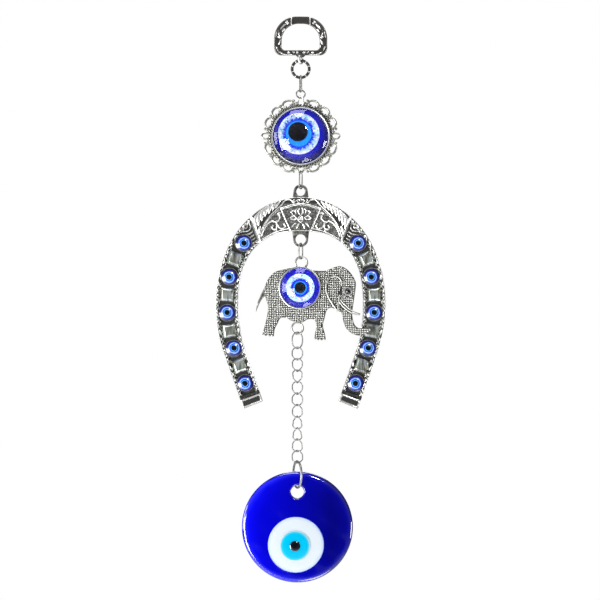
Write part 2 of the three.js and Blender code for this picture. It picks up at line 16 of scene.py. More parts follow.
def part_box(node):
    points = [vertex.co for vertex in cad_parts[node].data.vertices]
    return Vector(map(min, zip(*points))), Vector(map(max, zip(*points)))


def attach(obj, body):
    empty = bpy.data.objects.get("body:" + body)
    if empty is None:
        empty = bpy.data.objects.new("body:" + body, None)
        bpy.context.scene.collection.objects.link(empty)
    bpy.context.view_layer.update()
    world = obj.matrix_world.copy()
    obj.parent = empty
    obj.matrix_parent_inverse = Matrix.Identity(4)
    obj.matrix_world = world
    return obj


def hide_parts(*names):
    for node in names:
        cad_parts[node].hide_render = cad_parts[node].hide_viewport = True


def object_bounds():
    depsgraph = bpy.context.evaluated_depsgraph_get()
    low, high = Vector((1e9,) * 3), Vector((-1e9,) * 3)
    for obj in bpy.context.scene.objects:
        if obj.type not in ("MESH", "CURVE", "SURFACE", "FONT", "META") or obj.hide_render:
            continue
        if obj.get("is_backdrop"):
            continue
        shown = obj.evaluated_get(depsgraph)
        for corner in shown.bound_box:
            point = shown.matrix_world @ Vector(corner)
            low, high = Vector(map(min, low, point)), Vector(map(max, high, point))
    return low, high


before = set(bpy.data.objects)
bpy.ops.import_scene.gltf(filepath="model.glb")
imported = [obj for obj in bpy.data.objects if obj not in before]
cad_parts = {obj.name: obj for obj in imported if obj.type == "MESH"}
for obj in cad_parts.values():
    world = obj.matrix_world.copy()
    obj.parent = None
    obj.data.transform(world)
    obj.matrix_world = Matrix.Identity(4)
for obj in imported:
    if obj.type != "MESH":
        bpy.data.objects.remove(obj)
cad_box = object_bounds()
MM = 0.001
FULL = 2 * math.pi


# %% [markdown]
# ## Measuring the frame
# A CAD node's box gives each piece's place, so nothing is placed by eye. The middle of a wire link's box is
# the middle of the link, and the front of a casting is its lowest Y.

# %% Boxes in millimetres
def box(node):
    """Lowest and highest corner of a CAD node, in millimetres."""
    low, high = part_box(node)
    return np.array(low) / MM, np.array(high) / MM


def middle(node):
    """Middle of a CAD node's box, in millimetres."""
    low, high = box(node)
    return (low + high) / 2


print("horseshoe from", box("horseshoe_casting")[0].round(1), "to", box("horseshoe_casting")[1].round(1))

# %% [markdown]
# ## Surfaces from grids of points
# A casting or a wire is a function of two parameters: one runs along the piece and one goes round its
# section. numpy works out the whole grid at once. A skin is that grid as points, faces, and a number called
# hollow at each point, which says how deep the point lies in the relief. The finish later turns hollow into
# dark tarnish, and leaves what stands proud bright, as a polishing mop does on the real casting.

# %% Skins
def skin(points, round_rows=False, round_cols=False, hollow=0.0):
    """A grid (rows, columns, 3) as (points, faces, hollow). A round direction closes on itself."""
    rows, cols = points.shape[:2]
    row, col = np.meshgrid(np.arange(rows if round_rows else rows - 1),
                           np.arange(cols if round_cols else cols - 1), indexing="ij")
    below, beside = (row + 1) % rows, (col + 1) % cols
    corners = [row * cols + col, below * cols + col, below * cols + beside, row * cols + beside]
    faces = np.stack(corners, -1).reshape(-1, 4).tolist()
    return points.reshape(-1, 3), faces, np.broadcast_to(hollow, (rows, cols)).reshape(-1)


def closed_ends(points, hollow=0.0):
    """Adds a row at each end, drawn together into the middle of the end, so that a bar is closed."""
    ends = [np.broadcast_to(row.mean(0), row.shape)[None] for row in (points[0], points[-1])]
    hollow = np.broadcast_to(hollow, points.shape[:2])
    return (np.concatenate([ends[0], points, ends[1]]),
            np.concatenate([hollow[:1], hollow, hollow[-1:]]))


def moved(one, by):
    """A skin shifted by (x, y, z) millimetres."""
    return one[0] + np.asarray(by, float), one[1], one[2]


def together(skins):
    """Several skins as one."""
    points, own_faces, hollow = zip(*skins)
    starts = np.cumsum([0] + [len(own) for own in points])
    faces = [[corner + start for corner in face] for own, start in zip(own_faces, starts.tolist())
             for face in own]
    return np.concatenate(points), faces, np.concatenate(hollow)


def piece(name, skins, material, body, stands_for, centre=None, crease=40):
    """Makes a Blender piece from skins: seams and poles merged, faces outwards, smooth up to the crease."""
    points, faces, hollow = together(skins)
    mesh = bpy.data.meshes.new(name)
    mesh.from_pydata((points * MM).tolist(), [], faces)
    mesh.attributes.new("hollow", "FLOAT", "POINT").data.foreach_set("value", hollow.astype(np.float32))
    if centre is not None:
        local = (points - np.asarray(centre)).astype(np.float32).ravel()
        mesh.attributes.new("local", "FLOAT_VECTOR", "POINT").data.foreach_set("vector", local)
    work = bmesh.new()
    work.from_mesh(mesh)
    bmesh.ops.remove_doubles(work, verts=work.verts, dist=2e-7)
    bmesh.ops.dissolve_degenerate(work, edges=work.edges, dist=1e-8)
    bmesh.ops.recalc_face_normals(work, faces=work.faces)
    work.to_mesh(mesh)
    work.free()
    mesh.shade_smooth()
    mesh.set_sharp_from_angle(angle=math.radians(crease))
    mesh.materials.append(material)
    made = bpy.data.objects.new(name, mesh)
    bpy.context.scene.collection.objects.link(made)
    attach(made, body)
    if stands_for:
        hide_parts(*stands_for)
    print(name, len(mesh.polygons), "faces")
    return made


# %% [markdown]
# ## Bars, rings and turned pieces
# A wire ring is a round section carried round a circle. Pulling its two halves apart makes an oval link, and
# turning each point about the upright by an angle that follows its height twists the link, as the jeweller's
# pliers do. A turned piece is a profile of radius and depth carried round an axis that points to the front.

# %% Wire links
def link(radius, wire, half=None, turn=0.0, twist=0.0, spread=1.0, gap=0.0, seam=90.0,
         steps=96, sides=16, notches=0, hollow=0.0):
    """A wire ring or link standing upright: x = (radius + wire cos s) cos a, z = the same with sin a,
    pulled up or down to the half length, then turned about Z by turn + twist sin a. A gap, in millimetres,
    leaves the wire's two ends showing at the seam angle. notches cuts that many grooves across the wire."""
    half = radius if half is None else half
    open_angle = gap / radius
    around = math.radians(seam) + np.linspace(open_angle / 2, FULL - open_angle / 2, steps, endpoint=gap > 0)
    section = np.linspace(0, FULL, sides, endpoint=False)
    a, s = np.meshgrid(around, section, indexing="ij")
    groove = np.zeros_like(a)
    if notches:
        place = (a * notches / FULL) % 1
        groove = np.exp(-((place - 0.5) / 0.08) ** 2)
    thick = wire * (1 - 0.3 * groove)
    height = np.where(np.abs(np.sin(a)) < 1e-6, 0, np.sin(a))
    x = (radius * spread + thick * np.cos(s)) * np.cos(a)
    z = (radius + thick * np.cos(s)) * np.sin(a) + np.sign(height) * (half - radius)
    y = -thick * np.sin(s)
    angle = math.radians(turn) + math.radians(twist) * np.sin(a)
    points = np.stack([x * np.cos(angle) - y * np.sin(angle), x * np.sin(angle) + y * np.cos(angle), z], -1)
    hollow = np.clip(hollow * (1 - 0.85 * groove), 0, 1)
    if gap > 0:
        points, hollow = closed_ends(points, hollow)
        return skin(points, False, True, hollow)
    return skin(points, True, True, hollow)


# %% Turned pieces and rods
def turned(profile, steps=96, closed=False, hollow=0.0):
    """A profile of (radius, y) pairs carried round the Y axis: x = r cos a, z = r sin a."""
    profile = np.asarray(profile, float)
    a = np.linspace(0, FULL, steps, endpoint=False)[:, None]
    points = np.stack([profile[:, 0] * np.cos(a), profile[:, 1] + 0 * a, profile[:, 0] * np.sin(a)], -1)
    return skin(points, True, closed, hollow)


def smooth(points, per=8, closed=False):
    """A Catmull-Rom curve through the points, with so many steps from one to the next."""
    p = np.asarray(points, float)
    p = np.concatenate([p[-1:], p, p[:2]]) if closed else np.concatenate([p[:1], p, p[-1:]])
    t = np.linspace(0, 1, per, endpoint=False)[None, :, None]
    a, b, c, d = (p[i:len(p) - 3 + i][:, None] for i in range(4))
    curve = 0.5 * (2 * b + (c - a) * t + (2 * a - 5 * b + 4 * c - d) * t ** 2
                   + (3 * b - a - 3 * c + d) * t ** 3)
    curve = curve.reshape(-1, p.shape[1])
    return curve if closed else np.concatenate([curve, p[-2:-1]])


def rod(path, radius, sides=12, flat=1.0, hollow=0.0):
    """A bar with closed ends along a path near XZ: centre + radius (cos s normal + flat sin s Y)."""
    path = np.asarray(path, float)
    forward = np.gradient(path, axis=0)
    normal = np.stack([-forward[:, 2], 0 * forward[:, 0], forward[:, 0]], -1)
    normal /= np.linalg.norm(normal, axis=1, keepdims=True)
    s = np.linspace(0, FULL, sides, endpoint=False)
    radius = np.broadcast_to(radius, len(path))[:, None, None]
    ring = (np.cos(s)[None, :, None] * normal[:, None]
            + flat * np.sin(s)[None, :, None] * np.array([0, 1.0, 0]))
    points, hollow = closed_ends(path[:, None] + radius * ring, hollow)
    return skin(points, False, True, hollow)


# %% [markdown]
# ## Relief
# The die sinker's ornament is drawn as strokes. For every point of a face, the distance to a stroke gives a
# rounded ridge, a leaf is a ridge that swells in the middle, and stippling is a jittered grid of small
# domes. The highest stroke wins where two meet, so no stroke is ever cut out of another.

# %% Strokes, leaves and stipple
def stroke(x, z, path, width, leaf=False):
    """Height from 0 to 1 of a round ridge along a path: sqrt(1 - (distance / width)^2). As a leaf, its width
    swells and tapers with the sine of the way along."""
    path = np.asarray(path, float)
    start, run = path[:-1], np.diff(path, axis=0)
    length = (run ** 2).sum(1)
    dx, dz = x[..., None] - start[:, 0], z[..., None] - start[:, 1]
    share = np.clip((dx * run[:, 0] + dz * run[:, 1]) / length, 0, 1)
    apart = np.hypot(dx - share * run[:, 0], dz - share * run[:, 1])
    nearest = apart.argmin(-1)
    gap = np.take_along_axis(apart, nearest[..., None], -1)[..., 0]
    if leaf:
        along = (nearest + np.take_along_axis(share, nearest[..., None], -1)[..., 0]) / len(run)
        width = width * np.sin(math.pi * np.clip(along, 0.02, 0.98)) ** 0.7
    return np.sqrt(np.clip(1 - (gap / width) ** 2, 0, 1))


def stipple(x, z, pitch, size):
    """Height from 0 to 1 of small domes, one in each square of the pitch, jittered by a hash of it."""
    column, line = np.floor(x / pitch), np.floor(z / pitch)
    jitter_x = (np.sin(column * 12.99 + line * 78.23) * 437.58) % 1
    jitter_z = (np.sin(column * 39.35 + line * 11.14) * 257.31) % 1
    gap = np.hypot(x / pitch - column - 0.3 - 0.4 * jitter_x, z / pitch - line - 0.3 - 0.4 * jitter_z)
    return np.sqrt(np.clip(1 - (gap * pitch / size) ** 2, 0, 1))


def ease(value, low, high):
    """0 below low, 1 above high, and a smooth step between them."""
    t = np.clip((value - low) / (high - low), 0, 1)
    return t * t * (3 - 2 * t)


# %% [markdown]
# ## Camera, light and floor
# A metal piece shows its surroundings more than itself. The room behind the camera is dark in its middle,
# brighter above, below and to the right, and very bright at the far left, so that wires and relief get both
# bright and dark sides. The camera itself sees plain white. Seven soft lamps stand round the ornament, and
# their reflections are the sparkle on metal, glass and stones. The floor is plain and lies well below the
# ornament. The hook or nail that would carry it is left out.

# %% Camera
scene = bpy.context.scene
scene.view_settings.view_transform = "Standard"
camera_data = bpy.data.cameras.new("camera")
camera_data.lens = 200
camera_data.sensor_width = 36
camera_data.clip_start, camera_data.clip_end = 0.05, 20
camera = bpy.data.objects.new("camera", camera_data)
camera.location = (-0.0003, -1.5, -0.1243)
camera.rotation_euler = (math.pi / 2, 0, 0)
scene.collection.objects.link(camera)
scene.camera = camera

# %% Lamps
def lamp(name, place, aim, size, power, colour=(1, 1, 1)):
    """A square soft lamp that looks at a point."""
    data = bpy.data.lights.new(name, "AREA")
    data.size, data.energy, data.color = size, power, colour
    made = bpy.data.objects.new(name, data)
    made.location = place
    made.rotation_euler = (Vector(aim) - Vector(place)).to_track_quat("-Z", "Y").to_euler()
    scene.collection.objects.link(made)


lamp("key_lamp", (0.30, -1.05, 0.42), (0, 0, -0.12), 0.12, 3.6)
lamp("window_lamp", (-0.74, -0.66, -0.42), (0, 0, -0.12), 0.54, 15)
lamp("left_lamp", (-0.95, -0.13, -0.10), (0, 0, -0.12), 0.45, 5)
lamp("right_lamp", (0.95, -0.20, -0.34), (0, 0, -0.12), 0.3, 4.5)
lamp("top_lamp", (-0.1, -0.22, 0.85), (0, 0, -0.12), 0.5, 5.0)
lamp("low_lamp", (0.15, -0.16, -0.7), (0, 0, -0.12), 0.25, 1.5)
lamp("back_lamp", (0.1, 0.9, 0.5), (0, 0, -0.12), 0.6, 5)


# %% Surroundings
def node(tree, kind, inputs=None, **settings):
    """Adds a shader node. An input is a value, or the output socket of another node to link from."""
    made = tree.nodes.new(kind)
    for key, value in settings.items():
        setattr(made, key, value)
    for key, value in (inputs or {}).items():
        if isinstance(value, bpy.types.NodeSocket):
            tree.links.new(value, made.inputs[key])
        else:
            made.inputs[key].default_value = value
    return made


def ramp(tree, factor, stops, smooth_stops=True):
    """A colour ramp with (position, colour) stops."""
    made = node(tree, "ShaderNodeValToRGB", {"Fac": factor})
    made.color_ramp.interpolation = "LINEAR" if smooth_stops else "CONSTANT"
    elements = made.color_ramp.elements
    while len(elements) < len(stops):
        elements.new(1.0)
    for element, (position, colour) in zip(elements, stops):
        element.position = position
        element.color = (*colour, 1)
    return made.outputs["Color"]


def GREY(v):
    """A colour without hue."""
    return v, v, v


world = bpy.data.worlds.new("studio")
scene.world = world
world.use_nodes = True
tree = world.node_tree
tree.nodes.clear()
direction = node(tree, "ShaderNodeTexCoord").outputs["Generated"]
parts = node(tree, "ShaderNodeSeparateXYZ", {"Vector": direction}).outputs
height = node(tree, "ShaderNodeMath", {0: parts["Z"], 1: 0.5}, operation="MULTIPLY_ADD")
height.inputs[2].default_value = 0.5
across = node(tree, "ShaderNodeMath", {0: parts["X"], 1: 0.5}, operation="MULTIPLY_ADD")
across.inputs[2].default_value = 0.5
rising = ramp(tree, height.outputs[0], [(0, GREY(0.5)), (0.26, GREY(0.35)), (0.4, GREY(0.05)),
                                        (0.5, GREY(0.03)), (0.6, GREY(0.07)), (0.69, GREY(0.55)),
                                        (0.8, GREY(0.5)), (1, GREY(0.4))])
sideways = ramp(tree, across.outputs[0], [(0, GREY(5.0)), (0.05, GREY(4.0)), (0.09, GREY(0.5)),
                                          (0.3, GREY(0.2)), (0.42, GREY(0.05)), (0.5, GREY(0.06)),
                                          (0.58, GREY(0.04)), (0.74, GREY(0.4)), (1, GREY(0.6))])
mixed = node(tree, "ShaderNodeMix", {"Factor": 0.5, 6: rising, 7: sideways}, data_type="RGBA")
behind = node(tree, "ShaderNodeMapRange", {"Value": parts["Y"], 1: -0.25, 2: 0.3, 3: 1.0, 4: 0.12})
front_only = node(tree, "ShaderNodeMix", {"Factor": 1.0, 6: mixed.outputs[2], 7: behind.outputs[0]},
                  data_type="RGBA", blend_type="MULTIPLY")
soft = node(tree, "ShaderNodeBackground", {"Color": front_only.outputs[2], "Strength": 0.5})
white = node(tree, "ShaderNodeBackground", {"Color": (1, 1, 1, 1), "Strength": 1.0})
seen = node(tree, "ShaderNodeLightPath").outputs["Is Camera Ray"]
either = node(tree, "ShaderNodeMixShader", {0: seen, 1: soft.outputs[0], 2: white.outputs[0]})
node(tree, "ShaderNodeOutputWorld", {"Surface": either.outputs[0]})
print("studio ready")


# %% [markdown]
# ## Tarnished silver
# The castings are white metal, plated, blackened all over and then rubbed, so the black stays only in the
# hollows. One group makes that for every casting: it reads hollow, breaks its edge with two noises, and
# gives a colour, a roughness, a metal mask and a fine height. The shader itself stays in each material.

# %% Patina group
def math_node(tree, operation, a, b=0.0, c=0.0, clamp=False):
    """A Math node's output."""
    made = node(tree, "ShaderNodeMath", operation=operation, use_clamp=clamp)
    for socket, value in zip(made.inputs, (a, b, c)):
        if isinstance(value, bpy.types.NodeSocket):
            tree.links.new(value, socket)
        else:
            socket.default_value = value
    return made.outputs[0]


def noise(tree, vector, scale, detail=3.0, roughness=0.55):
    """A noise from 0 to 1 at so many features to the metre."""
    return node(tree, "ShaderNodeTexNoise", {"Vector": vector, "Scale": scale, "Detail": detail,
                                             "Roughness": roughness}).outputs["Fac"]


def mix(tree, factor, a, b, blend="MIX"):
    """A colour mix."""
    return node(tree, "ShaderNodeMix", {0: factor, 6: a, 7: b}, data_type="RGBA",
                blend_type=blend).outputs[2]


def group(name, inputs, outputs):
    """An empty shader group with its sockets, as (group, input node's outputs, output node)."""
    made = bpy.data.node_groups.new(name, "ShaderNodeTree")
    for side, sockets in (("INPUT", inputs), ("OUTPUT", outputs)):
        for socket, kind in sockets:
            made.interface.new_socket(socket, in_out=side, socket_type=f"NodeSocket{kind}")
    return made, node(made, "NodeGroupInput").outputs, node(made, "NodeGroupOutput")


def place_group(tree, made, inputs):
    """Places a group in a material with its values."""
    placed = node(tree, "ShaderNodeGroup", node_tree=made)
    for key, value in inputs.items():
        if isinstance(value, bpy.types.NodeSocket):
            tree.links.new(value, placed.inputs[key])
        else:
            placed.inputs[key].default_value = value
    return placed.outputs


patina, given, result = group(
    "patina", [("Hollow", "Float"), ("Bright", "Color"), ("Dark", "Color"), ("Tarnish", "Float")],
    [("Color", "Color"), ("Roughness", "Float"), ("Metal", "Float"), ("Height", "Float")])
on_piece = node(patina, "ShaderNodeTexCoord").outputs["Object"]
cloud = noise(patina, on_piece, 650)
grain = noise(patina, on_piece, 4200, 4)
depth = math_node(patina, "ADD", given["Hollow"], given["Tarnish"])
broken = math_node(patina, "MULTIPLY_ADD", math_node(patina, "SUBTRACT", cloud, 0.5), 0.55, depth)
black = math_node(patina, "SMOOTH_MIN", math_node(patina, "MULTIPLY", broken, 1.25, clamp=True), 1.0, 0.1,
                  clamp=True)
tone = mix(patina, black, given["Bright"], given["Dark"])
warm = math_node(patina, "MULTIPLY", noise(patina, on_piece, 170, 2), 0.22)
tone = mix(patina, warm, tone, (0.36, 0.30, 0.20, 1), "SOFT_LIGHT")
patina.links.new(tone, result.inputs["Color"])
rough = math_node(patina, "MULTIPLY_ADD", black, 0.15, 0.26)
patina.links.new(math_node(patina, "MULTIPLY_ADD", grain, 0.14, rough), result.inputs["Roughness"])
patina.links.new(math_node(patina, "MULTIPLY_ADD", black, -0.25, 0.88), result.inputs["Metal"])
patina.links.new(grain, result.inputs["Height"])


# %% Metals
def new_material(name):
    """A material with a Principled shader, as (material, tree, shader)."""
    made = bpy.data.materials.new(name)
    made.use_nodes = True
    return made, made.node_tree, made.node_tree.nodes["Principled BSDF"]


def bump(tree, shader, height, strength, distance):
    """Feeds a height to the shader's normal through a Bump node."""
    made = node(tree, "ShaderNodeBump", {"Height": height, "Strength": strength, "Distance": distance})
    tree.links.new(made.outputs[0], shader.inputs["Normal"])


def cast_silver(name, bright, dark, tarnish, grain_depth=0.00002, polish=1.0):
    """A tarnished and rubbed casting. A polish below 1 makes it smoother."""
    made, tree, shader = new_material(name)
    hollow = node(tree, "ShaderNodeAttribute", attribute_name="hollow").outputs["Fac"]
    finish = place_group(tree, patina, {"Hollow": hollow, "Bright": (*bright, 1), "Dark": (*dark, 1),
                                        "Tarnish": tarnish})
    tree.links.new(finish["Color"], shader.inputs["Base Color"])
    tree.links.new(math_node(tree, "MULTIPLY", finish["Roughness"], polish), shader.inputs["Roughness"])
    tree.links.new(finish["Metal"], shader.inputs["Metallic"])
    bump(tree, shader, finish["Height"], 0.6, grain_depth)
    return made


relief_silver = cast_silver("relief_silver", (0.93, 0.94, 0.92), (0.02, 0.022, 0.02), -0.03)
hanger_silver = cast_silver("hanger_silver", (0.92, 0.92, 0.90), (0.022, 0.02, 0.019), 0.0)
lace_silver = cast_silver("lace_silver", (0.46, 0.47, 0.43), (0.02, 0.022, 0.017), 0.1, polish=0.9)
hide_silver = cast_silver("hide_silver", (0.80, 0.81, 0.78), (0.02, 0.02, 0.018), 0.0)
trim_silver = cast_silver("trim_silver", (0.50, 0.51, 0.49), (0.04, 0.04, 0.035), 0.06)
wire_silver = cast_silver("wire_silver", (0.34, 0.35, 0.34), (0.04, 0.04, 0.037), 0.1, 0.000008, 1.1)


# %% [markdown]
# ## The printed eyes
# Under each clear cabochon lies a paper disc with an eye on it: a black pupil, a bright blue ring, a blue
# iris with a ragged edge, a glitter ring and a cobalt rim. The distance from the eye's centre picks the
# colour from a ramp. A noise that changes with the direction makes the ragged edge, and small cells, each
# with a colour and a roughness of its own, make the glitter.

# %% Eye prints
def radius_and_direction(tree, offset):
    """The place on the print seen from the eye's centre in millimetres, its distance, and its direction."""
    local = node(tree, "ShaderNodeAttribute", attribute_name="local").outputs["Vector"]
    placed = node(tree, "ShaderNodeVectorMath", {0: local, 1: (offset[0], 0, offset[1])},
                  operation="SUBTRACT").outputs[0]
    flat = node(tree, "ShaderNodeVectorMath", {0: placed, 1: (1, 0, 1)}, operation="MULTIPLY").outputs[0]
    length = node(tree, "ShaderNodeVectorMath", {0: flat}, operation="LENGTH").outputs["Value"]
    unit = node(tree, "ShaderNodeVectorMath", {0: flat}, operation="NORMALIZE").outputs[0]
    return flat, length, unit


def above(tree, value, floor, gain):
    """How far value is above floor, times gain, kept between 0 and 1."""
    return math_node(tree, "MULTIPLY", math_node(tree, "SUBTRACT", value, floor), gain, clamp=True)


def eye_print(name, offset, pupil_offset, pupil, stops, ragged, glitter_ring, spread):
    """A printed eye. stops are (radius, colour); ragged is (inner, outer, depth) of the uneven edges."""
    made, tree, shader = new_material(name)
    flat, length, unit = radius_and_direction(tree, offset)
    rays = noise(tree, unit, 14.0, 5, 0.85)
    window = math_node(tree, "MULTIPLY", above(tree, length, ragged[0], 2.0),
                       above(tree, ragged[1], length, 2.0))
    shift = math_node(tree, "MULTIPLY", math_node(tree, "SUBTRACT", rays, 0.5), window)
    uneven = math_node(tree, "MULTIPLY_ADD", shift, ragged[2], length)
    colour = ramp(tree, math_node(tree, "DIVIDE", uneven, spread),
                  [(radius / spread, tone) for radius, tone in stops])
    cells = node(tree, "ShaderNodeTexVoronoi", {"Vector": flat, "Scale": 1.35})
    spark = node(tree, "ShaderNodeSeparateColor", {"Color": cells.outputs["Color"]}).outputs
    in_ring = math_node(tree, "MULTIPLY", above(tree, uneven, glitter_ring[0], 1.5),
                        above(tree, glitter_ring[1], uneven, 3.0))
    tint = ramp(tree, spark[0], [(0, (0.16, 0.10, 0.42)), (0.3, (0.30, 0.55, 0.62)),
                                 (0.5, (0.10, 0.35, 0.38)), (0.7, (0.75, 0.76, 0.80)),
                                 (1, (0.02, 0.09, 0.42))])
    amount = math_node(tree, "MULTIPLY", in_ring, above(tree, spark[1], 0.35, 3.0))
    colour = mix(tree, amount, colour, tint)
    _, pupil_length, _ = radius_and_direction(tree, pupil_offset)
    open_pupil = above(tree, pupil_length, pupil, 5.0)
    colour = mix(tree, open_pupil, (0.002, 0.002, 0.004, 1), colour)
    tree.links.new(colour, shader.inputs["Base Color"])
    tree.links.new(math_node(tree, "MULTIPLY", in_ring, 0.35), shader.inputs["Metallic"])
    tree.links.new(math_node(tree, "MULTIPLY_ADD", spark[2], 0.3, 0.3), shader.inputs["Roughness"])
    shader.inputs["Specular IOR Level"].default_value = 0.1
    return made


NAVY, COBALT, ROYAL = (0.0, 0.0, 0.06), (0.0, 0.0, 0.24), (0.002, 0.012, 0.38)
AZURE, PALE, WHITE = (0.006, 0.15, 0.62), (0.26, 0.43, 0.58), (0.42, 0.46, 0.55)
MAGNIFY = 1.11 # how much larger a cabochon makes the print under it look
rosette_eye = eye_print(
    "rosette_eye", (-0.85, 1.0), (-1.1, 1.7), 4.35 / MAGNIFY,
    [(0, AZURE), (4.6 / MAGNIFY, AZURE), (5.7 / MAGNIFY, AZURE), (6.1 / MAGNIFY, ROYAL),
     (7.3 / MAGNIFY, ROYAL), (7.7 / MAGNIFY, PALE), (8.6 / MAGNIFY, WHITE), (9.55 / MAGNIFY, WHITE),
     (9.75 / MAGNIFY, COBALT), (10.9 / MAGNIFY, COBALT), (13 / MAGNIFY, NAVY)],
    (5.4, 8.2, 7.5), (5.9, 8.7), 14 / MAGNIFY)
elephant_eye_print = eye_print(
    "elephant_eye_print", (0, 0), (0, 0.1), 2.4 / MAGNIFY,
    [(0, AZURE), (2.6 / MAGNIFY, AZURE), (2.95 / MAGNIFY, AZURE), (3.15 / MAGNIFY, ROYAL),
     (4.1 / MAGNIFY, ROYAL), (4.5 / MAGNIFY, PALE), (5.3 / MAGNIFY, WHITE), (6.45 / MAGNIFY, PALE),
     (6.7 / MAGNIFY, COBALT), (8.9 / MAGNIFY, COBALT)],
    (2.9, 5.2, 3.2), (3.6, 6.0), 9 / MAGNIFY)


# %% [markdown]
# ## Beads, stones and glass
# The beads are moulded with a dark blue edge and painted rings under a thick clear coat, which the shader's
# coat stands for. The square stones are foiled on the back and act as mirrors, with painted reflections
# streaked over them. The disc is cobalt glass that was poured and flattened hot, thinner and so lighter
# towards its edge, with opaque drops fused onto it, and painted lighter at the left and darker at the right
# as painted light.

# %% Glossy materials
def bead_enamel():
    """Painted rings under a clear coat, by the distance from the bead's own middle."""
    made, tree, shader = new_material("bead_enamel")
    flat, length, _ = radius_and_direction(tree, (0, 0))
    wobble = math_node(tree, "MULTIPLY", math_node(tree, "SUBTRACT", noise(tree, flat, 0.8, 2), 0.5), 0.5)
    uneven = math_node(tree, "ADD", length, wobble)
    rings = [(0, (0.001, 0.001, 0.003)), (1.2, (0.001, 0.001, 0.006)), (1.36, (0.09, 0.40, 0.78)),
             (1.52, (0.05, 0.22, 0.68)), (1.68, (0.006, 0.03, 0.36)), (1.95, (0.008, 0.04, 0.40)),
             (2.1, (0.14, 0.33, 0.80)), (2.28, (0.36, 0.54, 0.90)), (2.45, (0.06, 0.16, 0.62)),
             (2.62, (0.03, 0.08, 0.48)), (2.76, (0.002, 0.003, 0.17)), (3.3, (0.001, 0.001, 0.10)),
             (3.7, (0.001, 0.001, 0.04))]
    colour = ramp(tree, math_node(tree, "DIVIDE", uneven, 3.8), [(r / 3.8, tone) for r, tone in rings])
    tree.links.new(colour, shader.inputs["Base Color"])
    tree.links.new(math_node(tree, "MULTIPLY_ADD", noise(tree, flat, 3.0), 0.12, 0.18),
                   shader.inputs["Roughness"])
    shader.inputs["Coat Weight"].default_value = 1.0
    shader.inputs["Coat Roughness"].default_value = 0.03
    return made


def foiled_stone():
    """A mirror-backed stone, grey-green, with painted reflections: streaks from dark brown to near white
    painted over it.
    """
    made, tree, shader = new_material("foiled_stone")
    local = node(tree, "ShaderNodeAttribute", attribute_name="local").outputs["Vector"]
    longer = node(tree, "ShaderNodeVectorMath", {0: local, 1: (0.9, 0.2, 0.16)},
                  operation="MULTIPLY").outputs[0]
    # Painted reflections: a stretched noise paints dark brown and near-white streaks into the colour, for the
    # surroundings seen in the mirror.
    painted_reflection_streak = noise(tree, longer, 1.1, 2)
    colour = ramp(tree, painted_reflection_streak, [(0.3, (0.13, 0.12, 0.085)), (0.46, (0.30, 0.32, 0.27)),
                                 (0.58, (0.52, 0.57, 0.54)), (0.75, (0.80, 0.84, 0.84))])
    tree.links.new(colour, shader.inputs["Base Color"])
    tree.links.new(math_node(tree, "MULTIPLY_ADD", painted_reflection_streak, 0.1, 0.02), shader.inputs["Roughness"])
    shader.inputs["Metallic"].default_value = 0.7
    return made


def clear_glass():
    """Polished crown glass, with the faint waviness of a pressed cabochon."""
    made, tree, shader = new_material("clear_cabochon_glass")
    on_piece = node(tree, "ShaderNodeTexCoord").outputs["Object"]
    wave = noise(tree, on_piece, 160, 1)
    colour = mix(tree, wave, (0.97, 0.98, 1, 1), (0.99, 0.99, 1, 1))
    tree.links.new(colour, shader.inputs["Base Color"])
    shader.inputs["Roughness"].default_value = 0.01
    shader.inputs["IOR"].default_value = 1.5
    shader.inputs["Transmission Weight"].default_value = 1.0
    bump(tree, shader, wave, 0.05, 0.0002)
    return made


def poured_glass(name, centre, radius, stops, cloudy=0.12, sides=(1.0, 1.0)):
    """Glossy glass whose colour changes from its middle to its edge, with faint clouds from the pouring.
    sides are painted light: the brightness painted at the left and at the right edge, for light falling more
    on one side."""
    made, tree, shader = new_material(name)
    on_piece = node(tree, "ShaderNodeTexCoord").outputs["Object"]
    local = node(tree, "ShaderNodeVectorMath", {0: on_piece, 1: centre * MM},
                 operation="SUBTRACT").outputs[0]
    flat = node(tree, "ShaderNodeVectorMath", {0: local, 1: (1, 0, 1)}, operation="MULTIPLY").outputs[0]
    length = node(tree, "ShaderNodeVectorMath", {0: flat}, operation="LENGTH").outputs["Value"]
    share = math_node(tree, "DIVIDE", length, radius * MM)
    cloud = noise(tree, on_piece, 90, 2)
    share = math_node(tree, "MULTIPLY_ADD", math_node(tree, "SUBTRACT", cloud, 0.5), cloudy, share)
    across = node(tree, "ShaderNodeSeparateXYZ", {"Vector": flat}).outputs["X"]
    across = math_node(tree, "MULTIPLY_ADD", across, 0.5 / (radius * MM), 0.5, clamp=True)
    # Painted light: the colour is scaled from the left edge to the right edge by the sides.
    level = ramp(tree, across, [(0.06, GREY(sides[0])), (0.8, GREY(sides[1]))])
    tree.links.new(mix(tree, 1.0, ramp(tree, share, stops), level, "MULTIPLY"), shader.inputs["Base Color"])
    tree.links.new(math_node(tree, "MULTIPLY_ADD", noise(tree, on_piece, 900), 0.08, 0.05),
                   shader.inputs["Roughness"])
    shader.inputs["Coat Weight"].default_value = 1.0
    shader.inputs["Coat Roughness"].default_value = 0.02
    bump(tree, shader, noise(tree, on_piece, 110, 1), 0.25, 0.0004)
    return made


enamel = bead_enamel()
foil = foiled_stone()
cabochon_glass = clear_glass()
EYE = middle("black_glass_drop")
